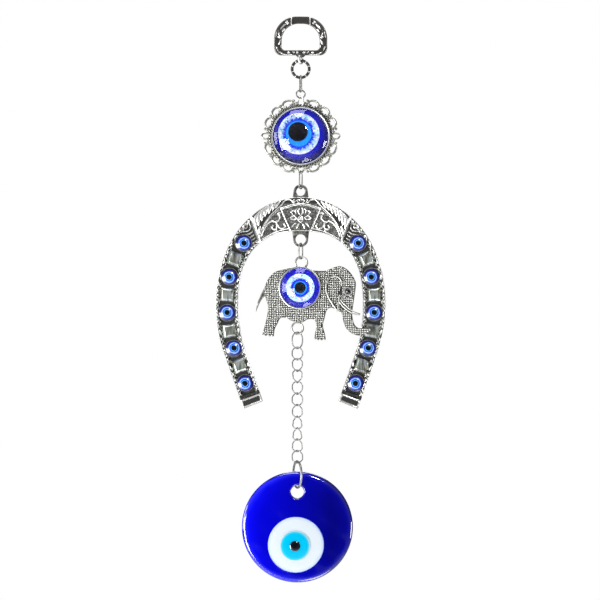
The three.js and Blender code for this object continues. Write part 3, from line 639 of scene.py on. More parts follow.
# The cobalt disc gets painted light at its left edge and painted shade at its right edge: sides (0.95, 0.26).
cobalt = poured_glass("cobalt_glass", middle("glass_disc"), 25.0,
                      [(0, (0.0, 0.0, 0.50)), (0.7, (0.0, 0.0, 0.50)), (0.88, (0.001, 0.001, 0.60)),
                       (0.97, (0.01, 0.012, 0.85)), (1, (0.004, 0.004, 0.4))], 0.12, (0.95, 0.26))
white = poured_glass("white_glass", middle("white_glass_drop"), 12.6,
                     [(0, (0.46, 0.53, 0.56)), (0.88, (0.50, 0.55, 0.60)), (0.97, (0.40, 0.48, 0.64)),
                      (1, (0.14, 0.20, 0.55))], 0.05)
cyan = poured_glass("cyan_glass", EYE, 6.7,
                    [(0, (0.0, 0.32, 0.56)), (0.84, (0.0, 0.37, 0.58)), (0.94, (0.06, 0.42, 0.58)),
                     (1, (0.34, 0.48, 0.58))], 0.06)
black = poured_glass("black_glass", EYE, 2.4, [(0, (0.002, 0.002, 0.003)), (1, (0.004, 0.006, 0.012))])
print("materials ready")


# %% [markdown]
# ## The D-ring
# The hanger is a flat bar bent into a D, cast with a scroll on its limbs and a plain bearing bar at the top.
# Its section, a rounded rectangle, is carried from the inner outline to the outer outline, which share their
# stations. The scroll is raised on the front face only.

# %% Hanger outline
HANGER_OUTER = dict(half_width=11.95, top=3.24, bottom=-14.2, top_radius=10.0, bottom_radius=3.4)
HANGER_INNER = dict(half_width=8.55, top=0.0, bottom=-11.9, top_radius=7.6, bottom_radius=1.6)
HANGER_HALF = 1.4


def arched(half_width, top, bottom, top_radius, bottom_radius):
    """Stations round a D outline: arcs at the corners and straight lines between them, as (x, z)."""
    pieces = []
    for cx, cz, radius, start, steps in (
            (-half_width + bottom_radius, bottom + bottom_radius, bottom_radius, 180, 28),
            (half_width - bottom_radius, bottom + bottom_radius, bottom_radius, 270, 28),
            (half_width - top_radius, top - top_radius, top_radius, 0, 90),
            (-half_width + top_radius, top - top_radius, top_radius, 90, 90)):
        a = np.radians(np.linspace(start, start + 90, steps))
        pieces.append(np.stack([cx + radius * np.cos(a), cz + radius * np.sin(a)], -1))
    outline = []
    for one, after, steps in zip(pieces, pieces[1:] + pieces[:1], (90, 34, 20, 34)):
        share = np.linspace(0, 1, steps + 2)[1:-1, None]
        outline += [one, one[-1] * (1 - share) + after[0] * share]
    return np.concatenate(outline)


# %% Hanger relief
HANGER_STROKES = [(smooth(path), width, leaf) for path, width, leaf in (
    ([(5.3, 0.2), (6.9, -0.5), (8.7, -1.9), (9.9, -3.9), (9.4, -5.6)], 0.26, False),
    ([(8.9, -6.2), (9.5, -6.1), (10.2, -6.0)], 0.62, True),
    ([(9.0, -6.9), (9.4, -8.3), (10.1, -9.9)], 0.3, True),
    ([(5.5, 0.9), (6.2, 0.7), (6.9, 0.3)], 0.6, True),
    ([(7.2, -2.4), (7.8, -3.0), (8.3, -3.8)], 0.42, True),
    ([(7.7, -9.9), (8.3, -9.5), (8.8, -10.0), (8.4, -10.7), (7.9, -10.5)], 0.28, False),
    ([(10.6, -3.4), (11.0, -5.0), (11.2, -6.4)], 0.22, True),
    ([(4.8, -13.0), (5.4, -13.0), (6.0, -13.1)], 0.5, True),
    ([(0.9, -13.0), (1.5, -13.0), (2.1, -12.9)], 0.5, True),
    ([(2.6, -13.4), (3.2, -12.9), (3.7, -12.4)], 0.18, True),
    ([(4.0, -13.9), (6.5, -14.0), (8.6, -13.4), (10.2, -12.0), (11.0, -10.4)], 0.2, False))]


def hanger():
    """The D bar: its middle + half width cos s |cos s|^-1/2 across, and the same with sin s in depth."""
    inner, outer = arched(**HANGER_INNER), arched(**HANGER_OUTER)
    s = np.linspace(0, FULL, 72, endpoint=False)[None, :]
    across = np.sign(np.cos(s)) * np.abs(np.cos(s)) ** 0.5
    deep = np.sign(np.sin(s)) * np.abs(np.sin(s)) ** 0.5
    x = (inner + outer)[:, :1] / 2 + (outer - inner)[:, :1] / 2 * across
    z = (inner + outer)[:, 1:] / 2 + (outer - inner)[:, 1:] / 2 * across
    height = np.zeros_like(x)
    for path, width, leaf in HANGER_STROKES:
        height = np.maximum(height, stroke(np.abs(x), z, path, width, leaf))
    rim = np.exp(-((np.abs(across) - 0.86) / 0.07) ** 2) * 0.45
    plain = ease(np.abs(x), 4.2, 5.0) + ease(-z, 8, 9)
    height = np.maximum(height, rim) * np.clip(plain, 0, 1) * (deep > 0.75)
    y = -(HANGER_HALF - 0.3 * (deep > 0)) * deep - 0.3 * height
    dark = np.where(deep > 0.5, 0.93 - 0.95 * height, 0.62)
    points = np.stack([x, y + 0 * x, z], -1)
    return skin(points, True, True, np.clip(dark, 0, 1))


def hanger_rib(side):
    """A thin upright band that clasps the bar beside the bearing stretch."""
    s = np.linspace(0, FULL, 48, endpoint=False)
    loop = np.stack([0 * s, -1.8 * np.sign(np.sin(s)) * np.abs(np.sin(s)) ** 0.4,
                     1.15 + 1.85 * np.sign(np.cos(s)) * np.abs(np.cos(s)) ** 0.4], -1)
    rows = [loop * (1, shrink, shrink) + (side * (4.2 + dx), 0, 1.15 * (1 - shrink))
            for dx, shrink in ((-0.28, 0.9), (-0.2, 0.99), (0.2, 0.99), (0.28, 0.9))]
    points, dark = closed_ends(np.array(rows), 0.05)
    return skin(points, False, True, dark)


EYELET_Z = -16.0
neck = rod([(0, 0, -13.4), (0, 0, -14.2), (0, 0, -14.7), (0, 0, -15.1)],
           np.array([2.9, 2.2, 1.7, 1.2]), 20, 0.5, 0.85)
piece("hanger_casting",
      [hanger(), hanger_rib(-1), hanger_rib(1), neck,
       moved(link(1.8, 0.55, turn=65, hollow=0.25), (0, 0, EYELET_Z))],
      hanger_silver, "hanger", ["hanger_frame"])

# %% [markdown]
# ## Rings and links
# Each wire link has its two ends butted together, which leaves a hairline gap. The ring under the hanger is
# heavier and cut across with a file at ten places, so it is dark with bright notches. A curb link is an oval
# twisted a quarter turn, so that the chain lies flat.

# %% Rings
piece("hanger_ring_wire", [moved(link(3.85, 0.65, notches=10, hollow=0.95, steps=240, sides=20),
                                 middle("hanger_ring"))],
      hanger_silver, "hanger_ring", ["hanger_ring"])

LINKS = {
    "upper_link": dict(radius=1.6, wire=0.33, half=3.75, turn=102, twist=-12, gap=0.12, seam=10),
    "rosette_ring": dict(radius=1.75, wire=0.34, spread=1.23, turn=25, gap=0.12, seam=20),
    "crown_link": dict(radius=1.9, wire=0.33, half=4, turn=72, twist=10, gap=0.12, seam=170),
    "elephant_link": dict(radius=1.7, wire=0.33, half=3.5, turn=62, twist=12, gap=0.12, seam=10),
    "chain_ring": dict(radius=3.25, wire=0.3, half=3.7, turn=45, gap=0.15, seam=30),
    "disc_ring": dict(radius=5.95, wire=0.5, turn=-72, gap=0.35, seam=62, steps=160),
}
SETTLED = [4, 22, 34, 16, -4, -22, -38, -42, -24, -6] # how each curb link has come to rest, in degrees
for number, turn in enumerate(SETTLED, 2):
    LINKS[f"chain_link_{number:02d}"] = dict(radius=2.35, wire=0.27, half=2.89, turn=turn, twist=-45,
                                             gap=0.1, seam=35)
for name, sizes in LINKS.items():
    piece(f"{name}_wire", [moved(link(hollow=0.12, **sizes), middle(name))], wire_silver, name, [name])

# %% [markdown]
# ## The rosette
# A cup with a thin bright wall holds the cabochon. Round the wall lies a twisted rope, then a lace of oval
# wire loops with a grain in each corner, and longer loops at the sides and the foot. The bail at the top is
# one more loop, turned so that the ring above runs through it.

# %% Rosette setting
ROSETTE = middle("rosette_glass")
ROSETTE[1] = 0.0
CUP = [(0, 1.0), (13.5, 1.0), (13.85, 0.85), (14.0, 0.5), (14.0, -0.35), (13.8, -0.6), (13.45, -0.7),
       (13.4, -1.6), (13.3, -1.9), (13.1, -2.0), (12.75, -2.0), (12.6, -1.9), (12.5, -1.7), (12.5, 0.0),
       (0, 0.0)]
CUP_DARK = [0.4, 0.4, 0.4, 0.5, 0.7, 0.9, 1, 1, 1, 0.9, 0.1, 0, 0.3, 0.9, 0.9]


def rope(radius, y, thick, turns):
    """Two wires twisted into a rope and bent into a ring: its thickness is the mean plus a fifth of
    cos(2 s - turns a), where a runs round the ring and s round the rope."""
    a, s = np.meshgrid(np.linspace(0, FULL, turns * 8, endpoint=False),
                       np.linspace(0, FULL, 14, endpoint=False), indexing="ij")
    wave = np.cos(2 * s - turns * a)
    size = thick * (0.82 + 0.18 * wave)
    reach = radius + size * np.cos(s)
    points = np.stack([reach * np.cos(a), y - size * np.sin(s), reach * np.sin(a)], -1)
    return skin(points, True, True, 0.5 - 0.8 * wave)


def lace_loop(angle, centre, radial, across, wire, dark=0.3):
    """One oval loop of the lace, standing at an angle and a distance from the rosette's middle."""
    points, faces, _ = link(radial, wire, spread=across / radial, steps=56, sides=12)
    hollow = np.clip(dark + 0.65 * points[:, 1] / wire, 0, 1)
    a = math.radians(90 - angle)
    points = points + (0, 0, centre)
    turned_points = np.stack([points[:, 0] * math.cos(a) + points[:, 2] * math.sin(a), points[:, 1],
                              -points[:, 0] * math.sin(a) + points[:, 2] * math.cos(a)], -1)
    return turned_points, faces, hollow


def grain_bead(angle, distance, size, y=0.0, dark=0.25):
    """A round grain of metal at an angle and a distance."""
    a = np.linspace(math.pi / 2, -math.pi / 2, 9)
    ball = turned(np.stack([size * np.cos(a), size * np.sin(a)], -1), 12, hollow=dark)
    turn = math.radians(angle)
    return moved(ball, (distance * math.cos(turn), y, distance * math.sin(turn)))


def lace():
    """Sixteen places from the right round to the top (4), the left (8) and the bottom (12): pointed loops at
    both sides, a small round one at the bottom, the bail's gap at the top, ovals and grains elsewhere."""
    skins = []
    for place in range(16):
        angle = place * 22.5
        if place == 12:
            skins.append(lace_loop(angle, 15.05, 1.4, 1.3, 0.4, 0.4))
        elif place in (0, 8):
            skins.append(lace_loop(angle, 15.75, 1.75, 1.25, 0.4, 0.4))
        elif place != 4:
            skins.append(lace_loop(angle, 15.4, 1.6, 2.3, 0.48, 0.55))
            skins.append(grain_bead(angle - 4, 14.75, 0.42, -0.2, 0.1))
            skins.append(grain_bead(angle + 4, 14.75, 0.42, -0.2, 0.1))
        skins.append(grain_bead(angle + 11.25, 16.25, 0.6))
        skins.append(grain_bead(angle + 11.25, 14.95, 0.5, -0.2, 0.4))
        if place % 4 == 0:
            for side in (-1, 1):
                skins.append(grain_bead(angle + side * 7.5, 15.0, 0.62, -0.1, 0.1))
    return skins


bail = moved(link(1.45, 0.36, half=2.35, turn=-40, hollow=0.1), (0, 0, 13.2 + 2.35))
cup = turned(CUP, 160, hollow=np.array(CUP_DARK)[None, :])
piece("rosette_setting", [moved(one, ROSETTE) for one in [cup, bail]], relief_silver, "rosette",
      ["rosette_frame"])
ropes = [rope(13.95, -0.78, 0.5, 64), rope(13.2, -1.72, 0.3, 88)]
piece("rosette_rope", [moved(one, ROSETTE) for one in ropes], lace_silver, "rosette", ["rosette_frame"])
piece("rosette_lace", [moved(one, ROSETTE) for one in lace()], lace_silver, "rosette", ["rosette_frame"])


# %% Cabochon and print
def dome(radius, wall, height, y, rings=28, steps=128):
    """A cabochon: flat back at y, a short wall, a rounded shoulder, and a cap that is part of a sphere."""
    rise = height - wall
    sphere = (radius ** 2 + rise ** 2) / (2 * rise)
    spread = math.asin(radius / sphere)
    a = spread * np.linspace(0.985, 0, rings)
    cap = np.stack([sphere * np.sin(a), y - wall - sphere * np.cos(a) + (sphere - rise)], -1)
    base = [(0, y), (radius - 0.15, y), (radius, y - 0.15), (radius, y - wall)]
    return turned(np.concatenate([base, cap]), steps)


def print_disc(radius, y, thick):
    """A thin disc with slightly eased edges."""
    return turned([(0, y), (radius, y), (radius, y - thick + 0.03), (radius - 0.03, y - thick),
                   (0, y - thick)], 96)


piece("rosette_eye_card", [moved(print_disc(12.4, -0.1, 0.2), ROSETTE)], rosette_eye, "rosette",
      ["rosette_print"], centre=ROSETTE)
rosette_cabochon = piece("rosette_cabochon", [moved(dome(12.4, 1.2, 5.8, -0.2), ROSETTE)], cabochon_glass,
                         "rosette", ["rosette_glass"])
rosette_cabochon.visible_shadow = False


# %% [markdown]
# ## The horseshoe
# The whole shoe is one section carried from heel to heel. Its outer and inner edges are a superellipse over
# the crown, then an arc, then a straight line in each arm. Across the section run the edge, the scrolled
# rim, the channel for the stones, the other rim and the other edge. Along the shoe the channel gives way to
# the raised crown, whose ends slope down, and to the heel blocks.

# %% Horseshoe edges
SHOE_Z = box("horseshoe_casting")[0][2] + 46.8
OUTER = dict(half_width=38.3, height=48.4, power=2.05, arm_radius=64, end=-46.8)
INNER = dict(half_width=28, height=33.2, power=2.45, arm_radius=70, end=-43.3)
ARM_SLOPE = math.radians(19.3)
BACK, FLOOR, RIM, CROWN, HEEL = 1.8, -0.65, -1.9, -2.75, -2.25
CROWN_END = 0.393


def shoe_edge(share, half_width, height, power, arm_radius, end):
    """A point of the right edge: a superellipse up to share 1, then an arc and a line to share 2."""
    angle = np.clip(1 - share, 0, 1) * math.pi / 2
    x = half_width * np.cos(angle) ** (2 / power)
    z = height * np.sin(angle) ** (2 / power)
    arc = arm_radius * ARM_SLOPE
    straight = (-end - arm_radius * math.sin(ARM_SLOPE)) / math.cos(ARM_SLOPE)
    along = np.clip(share - 1, 0, 1) * (arc + straight)
    turn = np.minimum(along / arm_radius, ARM_SLOPE)
    beyond = np.maximum(along - arc, 0)
    x = x - arm_radius * (1 - np.cos(turn)) - beyond * math.sin(ARM_SLOPE)
    z = z - arm_radius * np.sin(turn) - beyond * math.cos(ARM_SLOPE)
    return np.stack([x, z], -1)


def stations(count, low, high):
    """Shares from low to high, evenly spaced along the middle of the band."""
    share = np.linspace(low, high, 4000)
    centre = (shoe_edge(share, **OUTER) + shoe_edge(share, **INNER)) / 2
    walked = np.concatenate([[0], np.cumsum(np.hypot(*np.diff(centre, axis=0).T))])
    return np.interp(np.linspace(0, walked[-1], count), walked, share), walked[-1]


# %% Crown ornament
CROWN_STROKES = [(smooth(path), width, leaf) for path, width, leaf in (
    ([(0, 45.5), (3.5, 45.1), (8.7, 43.5)], 0.26, False),
    ([(0, 44.9), (3.5, 44.5), (8.6, 42.9)], 0.2, False),
    ([(8.9, 43.4), (6.8, 38.4), (4.55, 33.4)], 0.36, False),
    ([(2.6, 46.3), (3.3, 46.0), (3.9, 46.6), (4.8, 47.2), (6.8, 47.0), (8.6, 45.0), (11, 42.7), (13.3, 40.4),
      (15.9, 36.9), (17.8, 33.2), (18.4, 30.6)], 0.3, False),
    ([(9.6, 43.0), (12.2, 40.6), (14.9, 37.6), (16.8, 34.4)], 0.16, False),
    ([(2.2, 46.9), (3.0, 47.2), (3.2, 46.6)], 0.3, True),
    ([(0.0, 47.7), (0.55, 47.1), (0.0, 46.5)], 0.3, True),
    ([(0.7, 47.5), (1.3, 47.2), (1.9, 46.6)], 0.3, True),
    ([(0.6, 46.3), (1.3, 46.1), (1.9, 47.3)], 0.24, True),
    ([(0.35, 43.9), (1.0, 42.6), (0.75, 41.2), (0.2, 40.3)], 0.42, True),
    ([(1.4, 43.4), (2.4, 42.3), (1.9, 40.9)], 0.38, True),
    ([(2.9, 42.4), (4.3, 41.7), (3.3, 40.6)], 0.34, True),
    ([(1.9, 39.2), (3.2, 40.0), (4.5, 39.2)], 0.3, False),
    ([(1.9, 38.7), (3.2, 38.3), (4.6, 38.7)], 0.26, False),
    ([(0, 40.1), (0.95, 39.1), (0.95, 37.9), (0, 37.1)], 0.28, False),
    ([(0, 39.2), (0.35, 38.6), (0, 38.0)], 0.26, False),
    ([(0.5, 36.7), (1.5, 35.4), (1.9, 34.0)], 0.42, True),
    ([(1.9, 36.7), (3.2, 36.0), (3.9, 34.6)], 0.34, True),
    ([(9.3, 41.3), (10.2, 41.0), (9.4, 39.9), (9.7, 38.3), (11.3, 37.2), (12.9, 37.6), (14.9, 36.3),
      (16.7, 33.7), (17.6, 31.0)], 0.36, False),
    ([(7.4, 36.3), (7.0, 35.2), (8.2, 34.2), (9.7, 34.9), (10.8, 36.9)], 0.34, False),
    ([(10.8, 36.9), (10.8, 34.6), (11.8, 33.8), (12.9, 34.7), (12.5, 35.6)], 0.34, False),
    ([(10.6, 34.0), (11.0, 33.2), (11.6, 32.6)], 0.3, True),
    ([(5.3, 34.2), (9.0, 33.4), (13.0, 31.9), (17.2, 29.6)], 0.26, False))]
SHOULDER_LEAVES = [(smooth(path), width, True) for path, width in (
    ([(9.0, 46.7), (10.6, 44.9), (11.5, 43.2)], 0.62), ([(11.0, 46.2), (12.3, 44.3), (12.7, 42.3)], 0.66),
    ([(12.7, 45.4), (14.0, 43.2), (14.3, 40.8)], 0.78), ([(14.4, 44.6), (15.8, 42.4), (16.0, 39.6)], 0.85),
    ([(15.9, 43.7), (17.4, 41.2), (17.6, 37.6)], 0.95), ([(17.6, 42.6), (19.0, 39.8), (18.9, 35.4)], 0.95),
    ([(19.4, 41.0), (20.4, 38.2), (20.0, 33.6)], 0.9), ([(18.0, 35.6), (18.9, 33.4), (19.1, 31.4)], 0.6))]
BOUNDARY = CROWN_STROKES[3][0]


def crown_height(x, z):
    """Height above the crown's ground in millimetres, and how hollow it looks: strokes over stipple."""
    across = np.abs(x)
    ridges = np.zeros_like(x)
    for path, width, leaf in CROWN_STROKES:
        ridges = np.maximum(ridges, stroke(across, z, path, width, leaf))
    level = np.interp(across, BOUNDARY[4:, 0], BOUNDARY[4:, 1])
    shoulder = ease(z - level, 0.1, 0.5) * ease(across, 8.0, 9.5)
    leaves = np.zeros_like(x)
    for path, width, leaf in SHOULDER_LEAVES:
        leaves = np.maximum(leaves, stroke(across, z, path, width, leaf))
    top = ease(z, 45.4, 46.0) * (1 - ease(across, 6.5, 8.5))
    dots = stipple(x, z, 0.62, 0.3) * (1 - shoulder) * (1 - top)
    height = np.maximum(0.42 * ridges, 0.16 * dots)
    height = np.maximum(height, shoulder * (0.05 + 0.5 * leaves))
    dark = 1.1 - np.maximum(1.25 * ridges, np.maximum(0.5 * dots, shoulder * (0.1 + 1.2 * leaves)))
    return height, dark


# %% Horseshoe casting
STEPS_CROWN, STEPS_ARM = 330, 300


def arm_height(along, edge):
    """Relief of the rims: leaves in a braid, slanting one way and then the other, over the distance from the
    edge. Returns the height in millimetres and how hollow it looks."""
    curl = 0.34 * np.sin(FULL * edge / 2.6 + 0.8 * along) + 0.2 * np.sin(0.47 * along)
    leaves = np.clip(np.cos(FULL * (along / 2.0 + edge / 4.0 + curl)), 0, 1) ** 1.3
    buds = np.clip(np.cos(FULL * (along / 3.1 - edge / 2.0 + 0.3)), 0, 1) ** 3
    leaves = np.maximum(leaves, 0.8 * buds)
    field = ease(edge, 0.28, 0.5) * (1 - ease(edge, 1.75, 2.1))
    lip = 1 - ease(edge, 0.16, 0.34)
    height = 0.38 * leaves * field + 0.28 * lip
    return height, 1.1 - 1.3 * leaves * field - 1.1 * lip


def shoe_half(side):
    """One half of the shoe. Rows are stations along it. Columns go round the section: across the front, down
    the outer edge, across the back and up the inner edge."""
    crown_share, _ = stations(STEPS_CROWN, 0.0, CROWN_END + 0.05)
    arm_share, arm_length = stations(STEPS_ARM + 1, CROWN_END + 0.05, 2.0)
    share = np.concatenate([crown_share, arm_share[1:]])
    inner, outer = shoe_edge(share, **INNER), shoe_edge(share, **OUTER)
    width = np.hypot(*(outer - inner).T)[:, None]
    centre = (inner + outer) / 2
    along = np.concatenate([[0], np.cumsum(np.hypot(*np.diff(centre, axis=0).T))])[:, None]
    from_heel = along[-1] - along
    t = (1 - np.cos(math.pi * np.linspace(0, 1, 92))) / 2 * 0.35 + np.linspace(0, 1, 92) * 0.65
    place = t[None, :] * width
    x = inner[:, :1] + (outer - inner)[:, :1] * t
    z = inner[:, 1:] + (outer - inner)[:, 1:] * t
    edge = np.minimum(place, width - place)

    rim_slope = RIM + (FLOOR - RIM) * ease(edge, 0.7, 1.9)
    braid, braid_dark = arm_height(along, edge)
    braid_dark = np.where(edge > 2.0, 1.0, braid_dark)
    arm_y = rim_slope - braid - 0.08 * stipple(x, z, 0.7, 0.3) * (edge > 1.9)

    crown, crown_dark = crown_height(x, z)
    lip = 1 - ease(edge, 0.2, 0.45)
    crown_y = CROWN + 0.12 - np.maximum(crown, 0.34 * lip)
    crown_dark = np.minimum(crown_dark, 1 - 1.0 * lip)
    end_x = 17.6 + (z - 29.2) * 0.36
    past = np.abs(x) - end_x - 0.6
    slope = ease(past, 0.0, 1.5)
    y = crown_y * (1 - slope) + arm_y * slope
    dark = crown_dark * (1 - slope) + braid_dark * slope
    wall = np.exp(-((past - 0.5) / 0.62) ** 2)
    dark = dark * (1 - wall)
    y = y * (1 - 0.04 * wall)

    scroll_zone = ease(past, 1.6, 2.2) * (1 - ease(past, 6.5, 8.0)) * ease(edge, 0.5, 0.9)
    curl = np.hypot(np.abs(x) - 25.6, z - 35.7)
    round_curl = np.arctan2(z - 35.7, np.abs(x) - 25.6)
    waves = np.clip(np.cos(FULL * curl / 1.5 + 1.2 * np.sin(3 * round_curl)), 0, 1)
    y = y - 0.26 * waves * scroll_zone
    dark = dark - 0.75 * waves * scroll_zone

    heel_in = ease(4.1 - from_heel, 0, 0.35)
    frame_line = np.minimum(np.minimum(edge, from_heel), np.abs(3.9 - from_heel))
    frame_mask = 1 - ease(frame_line, 0.65, 0.95)
    heel_y = HEEL + 0.35 - 0.4 * frame_mask
    y = y * (1 - heel_in) + heel_y * heel_in
    dark = dark * (1 - heel_in) + (0.92 - 0.95 * frame_mask) * heel_in
    block = ease(from_heel, 3.9, 4.2) * (1 - ease(from_heel, 5.4, 5.8))
    y = y * (1 - block) + (-1.5) * block
    dark = dark * (1 - block) + 0.85 * block

    soften = np.sqrt(np.clip(1 - ((0.3 - edge) / 0.3).clip(0, 1) ** 2, 0, 1))
    y = y + 0.28 * (1 - soften)
    front = np.stack([x, y, z], -1)
    level = np.linspace(0.12, 0.97, 5)[None, :]
    edge_y = y[:, -1:] + (BACK - y[:, -1:]) * level
    outer_wall = np.stack([outer[:, :1] + 0 * edge_y, edge_y, outer[:, 1:] + 0 * edge_y], -1)
    back_t = np.linspace(0.985, 0.015, 8)[None, :]
    back = np.stack([inner[:, :1] + (outer - inner)[:, :1] * back_t,
                     np.full((len(share), 8), BACK), inner[:, 1:] + (outer - inner)[:, 1:] * back_t], -1)
    inner_y = y[:, :1] + (BACK - y[:, :1]) * level[:, ::-1]
    inner_wall = np.stack([inner[:, :1] + 0 * inner_y, inner_y, inner[:, 1:] + 0 * inner_y], -1)
    points = np.concatenate([front, outer_wall, back, inner_wall], 1)
    flat_dark = np.concatenate([dark, np.full(edge_y.shape, 0.12), np.full((len(share), 8), 0.35),
                                np.full(inner_y.shape, 0.12)], 1)
    points[..., 0] *= side
    end = points[-1].mean(0)
    cap = np.broadcast_to(end, points[-1].shape)[None]
    points = np.concatenate([points, cap])
    flat_dark = np.concatenate([flat_dark, flat_dark[-1:] * 0 + 0.3])
    return skin(points, False, True, np.clip(flat_dark, 0, 1))


def lug(hole_z, radius, end_radius, half_base, base_z, half):
    """A tab with a hole: rings round the hole, out to a round end and to straight sides that spread to the
    base. For each direction the reach is the least of what the end, the sides and the base allow."""
    a = np.linspace(0, FULL, 160, endpoint=False)
    up = 1 if hole_z > base_z else -1
    dx, dz = np.cos(a), np.sin(a) * up
    fall = abs(hole_z - base_z)
    reach = np.full_like(a, end_radius)
    side_x, side_z = half_base - end_radius, -fall
    length = math.hypot(side_x, side_z)
    nx, nz = -side_z / length, side_x / length
    below = dz < 0
    toward_side = end_radius * nx / np.maximum(np.abs(dx) * nx + dz * nz, 1e-6)
    toward_base = fall / np.maximum(-dz, 1e-6)
    reach = np.where(below, np.minimum(np.maximum(toward_side, end_radius), toward_base), reach)
    soft = 0.3
    rows = [(0, half - soft, True), (0.08, half - 0.1, True), (soft, half, True),
            (soft, half, False), (0.08, half - 0.1, False), (0, half - soft, False)]
    ring = rows + [(inset, -y, from_hole) for inset, y, from_hole in rows[::-1]]
    columns = []
    for inset, y, from_hole in ring:
        r = radius + inset if from_hole else reach - inset
        columns.append(np.stack([r * dx, np.full_like(a, y), hole_z + r * dz * up], -1))
    return skin(np.stack(columns, 1), True, True, 0.72)


shoe_place = np.array([0, 0, SHOE_Z])
TOP_HOLE, LOW_HOLE = 48.4 + 2.55, 33.2 - 3.8
lugs = [lug(TOP_HOLE, 1.95, 3.2, 3.8, 46.9, 0.8), lug(LOW_HOLE, 2.3, 3.4, 3.95, 34.7, 0.8)]
piece("horseshoe_right_half", [moved(shoe_half(1), shoe_place)], relief_silver, "horseshoe",
      ["horseshoe_casting"])
piece("horseshoe_left_half", [moved(shoe_half(-1), shoe_place)], relief_silver, "horseshoe",
      ["horseshoe_casting"])
piece("horseshoe_lugs", [moved(one, shoe_place) for one in lugs], hanger_silver, "horseshoe",
      ["horseshoe_casting"])


# %% [markdown]
# ## Beads and stones in the arms
# Ten eye beads and eight square stones stand by turns in the channel. Each bead has a low dome and sits in
# a thin wire rim. A stone is cut with a flat table and four sloping sides, and its edges are eased a
# little, so that they catch the light.

# %% Beads
def bead_rim(centre):
    """The thin wire round a bead."""
    a, s = np.meshgrid(np.linspace(0, FULL, 64, endpoint=False), np.linspace(0, FULL, 10, endpoint=False),
                       indexing="ij")
    reach = 3.78 + 0.2 * np.cos(s)
    return moved(skin(np.stack([reach * np.cos(a), -1.35 + 0.25 * np.sin(s), reach * np.sin(a)], -1), True,
                      True, 0.25), (centre[0], 0, centre[2]))


rims = []
for side in ("left", "right"):
    for number in range(1, 6):
        name = f"eye_bead_{side}_{number}"
        centre = middle(name)
        back = box(name)[1][1]
        rims.append(bead_rim(centre))
        offset = np.array([0.28 * math.sin(number * 2.1), 0, 0.3 * math.cos(number * 1.7)])
        flat_centre = np.array([centre[0], 0, centre[2]])
        piece(name + "_dome", [moved(dome(3.66, 0.9, 1.9, back, 14, 48), flat_centre)], enamel, "horseshoe",
              [name], centre=flat_centre + offset)
piece("horseshoe_bead_rims", rims, lace_silver, "horseshoe", ["horseshoe_casting"])


# %% Square stones
def square_ring(half, y, lean, corner=0.12):
    """Eight corners of a square with clipped corners, turned by the lean."""
    c = half - corner
    x = np.array([half, half, c, -c, -half, -half, -c, c])
    z = np.array([-c, c, half, half, c, -c, -half, -half])
    return np.stack([x * math.cos(lean) - z * math.sin(lean), np.full(8, y),
                     x * math.sin(lean) + z * math.cos(lean)], -1)


def arm_lean(centre):
    """Angle of the arm's direction to the vertical at a stone."""
    share, _ = stations(400, CROWN_END, 2.0)
    path = (shoe_edge(share, **OUTER) + shoe_edge(share, **INNER)) / 2
    nearest = np.hypot(path[:, 0] - abs(centre[0]), path[:, 1] - (centre[2] - SHOE_Z)).argmin()
    run = path[nearest + 1] - path[nearest - 1]
    return math.copysign(1, centre[0]) * math.atan2(run[0], -run[1])


for side in ("left", "right"):
    for number in range(1, 5):
        name = f"square_stone_{side}_{number}"
        centre = middle(name)
        back = box(name)[1][1]
        lean = arm_lean(centre)
        rings = [(2.9, 0.0), (3.0, -0.1), (3.0, -0.68), (2.95, -0.76), (2.02, -1.64), (1.9, -1.7)]
        rows = np.array([square_ring(half, back + y, lean) for half, y in rings])
        flat_centre = np.array([centre[0], 0, centre[2]])
        points, _ = closed_ends(rows)
        # Each stone's painted reflection streaks are shifted to a place of their own.
        painted_reflection_centre = flat_centre + (2.0 * math.sin(number * 2.6), 0, 3.0 * math.cos(number * 1.9 + lean))
        piece(name + "_cut", [moved(skin(points, False, True), flat_centre)], foil, "horseshoe", [name],
              centre=painted_reflection_centre, crease=12)


# %% [markdown]
# ## The elephant
# The body is a flat casting with a softly rounded edge and a granulated hide. Its outline is filled with
# triangles, and each point's height follows its distance from the edge. The grains are low domes in rows,
# one mesh in all. The tail, the tusk, the rim of the ear and the eye are smooth bars laid over the hide.
# The casting is turned a little about the upright, so everything is made flat first and turned at the end.

# %% Elephant outlines
ELEPHANT_YAW = math.radians(-8)
ELEPHANT_AT = np.array([0.3, 0, middle("elephant_glass")[2]])
PIVOT_X = 0.4


def on_elephant(one):
    """Moves a skin made round the cabochon's middle to its place on the turned elephant."""
    points, faces, hollow = one
    x, y = points[:, 0] - PIVOT_X, points[:, 1]
    turned_points = np.stack([x * math.cos(ELEPHANT_YAW) - y * math.sin(ELEPHANT_YAW),
                              x * math.sin(ELEPHANT_YAW) + y * math.cos(ELEPHANT_YAW), points[:, 2]], -1)
    return turned_points + ELEPHANT_AT, faces, hollow


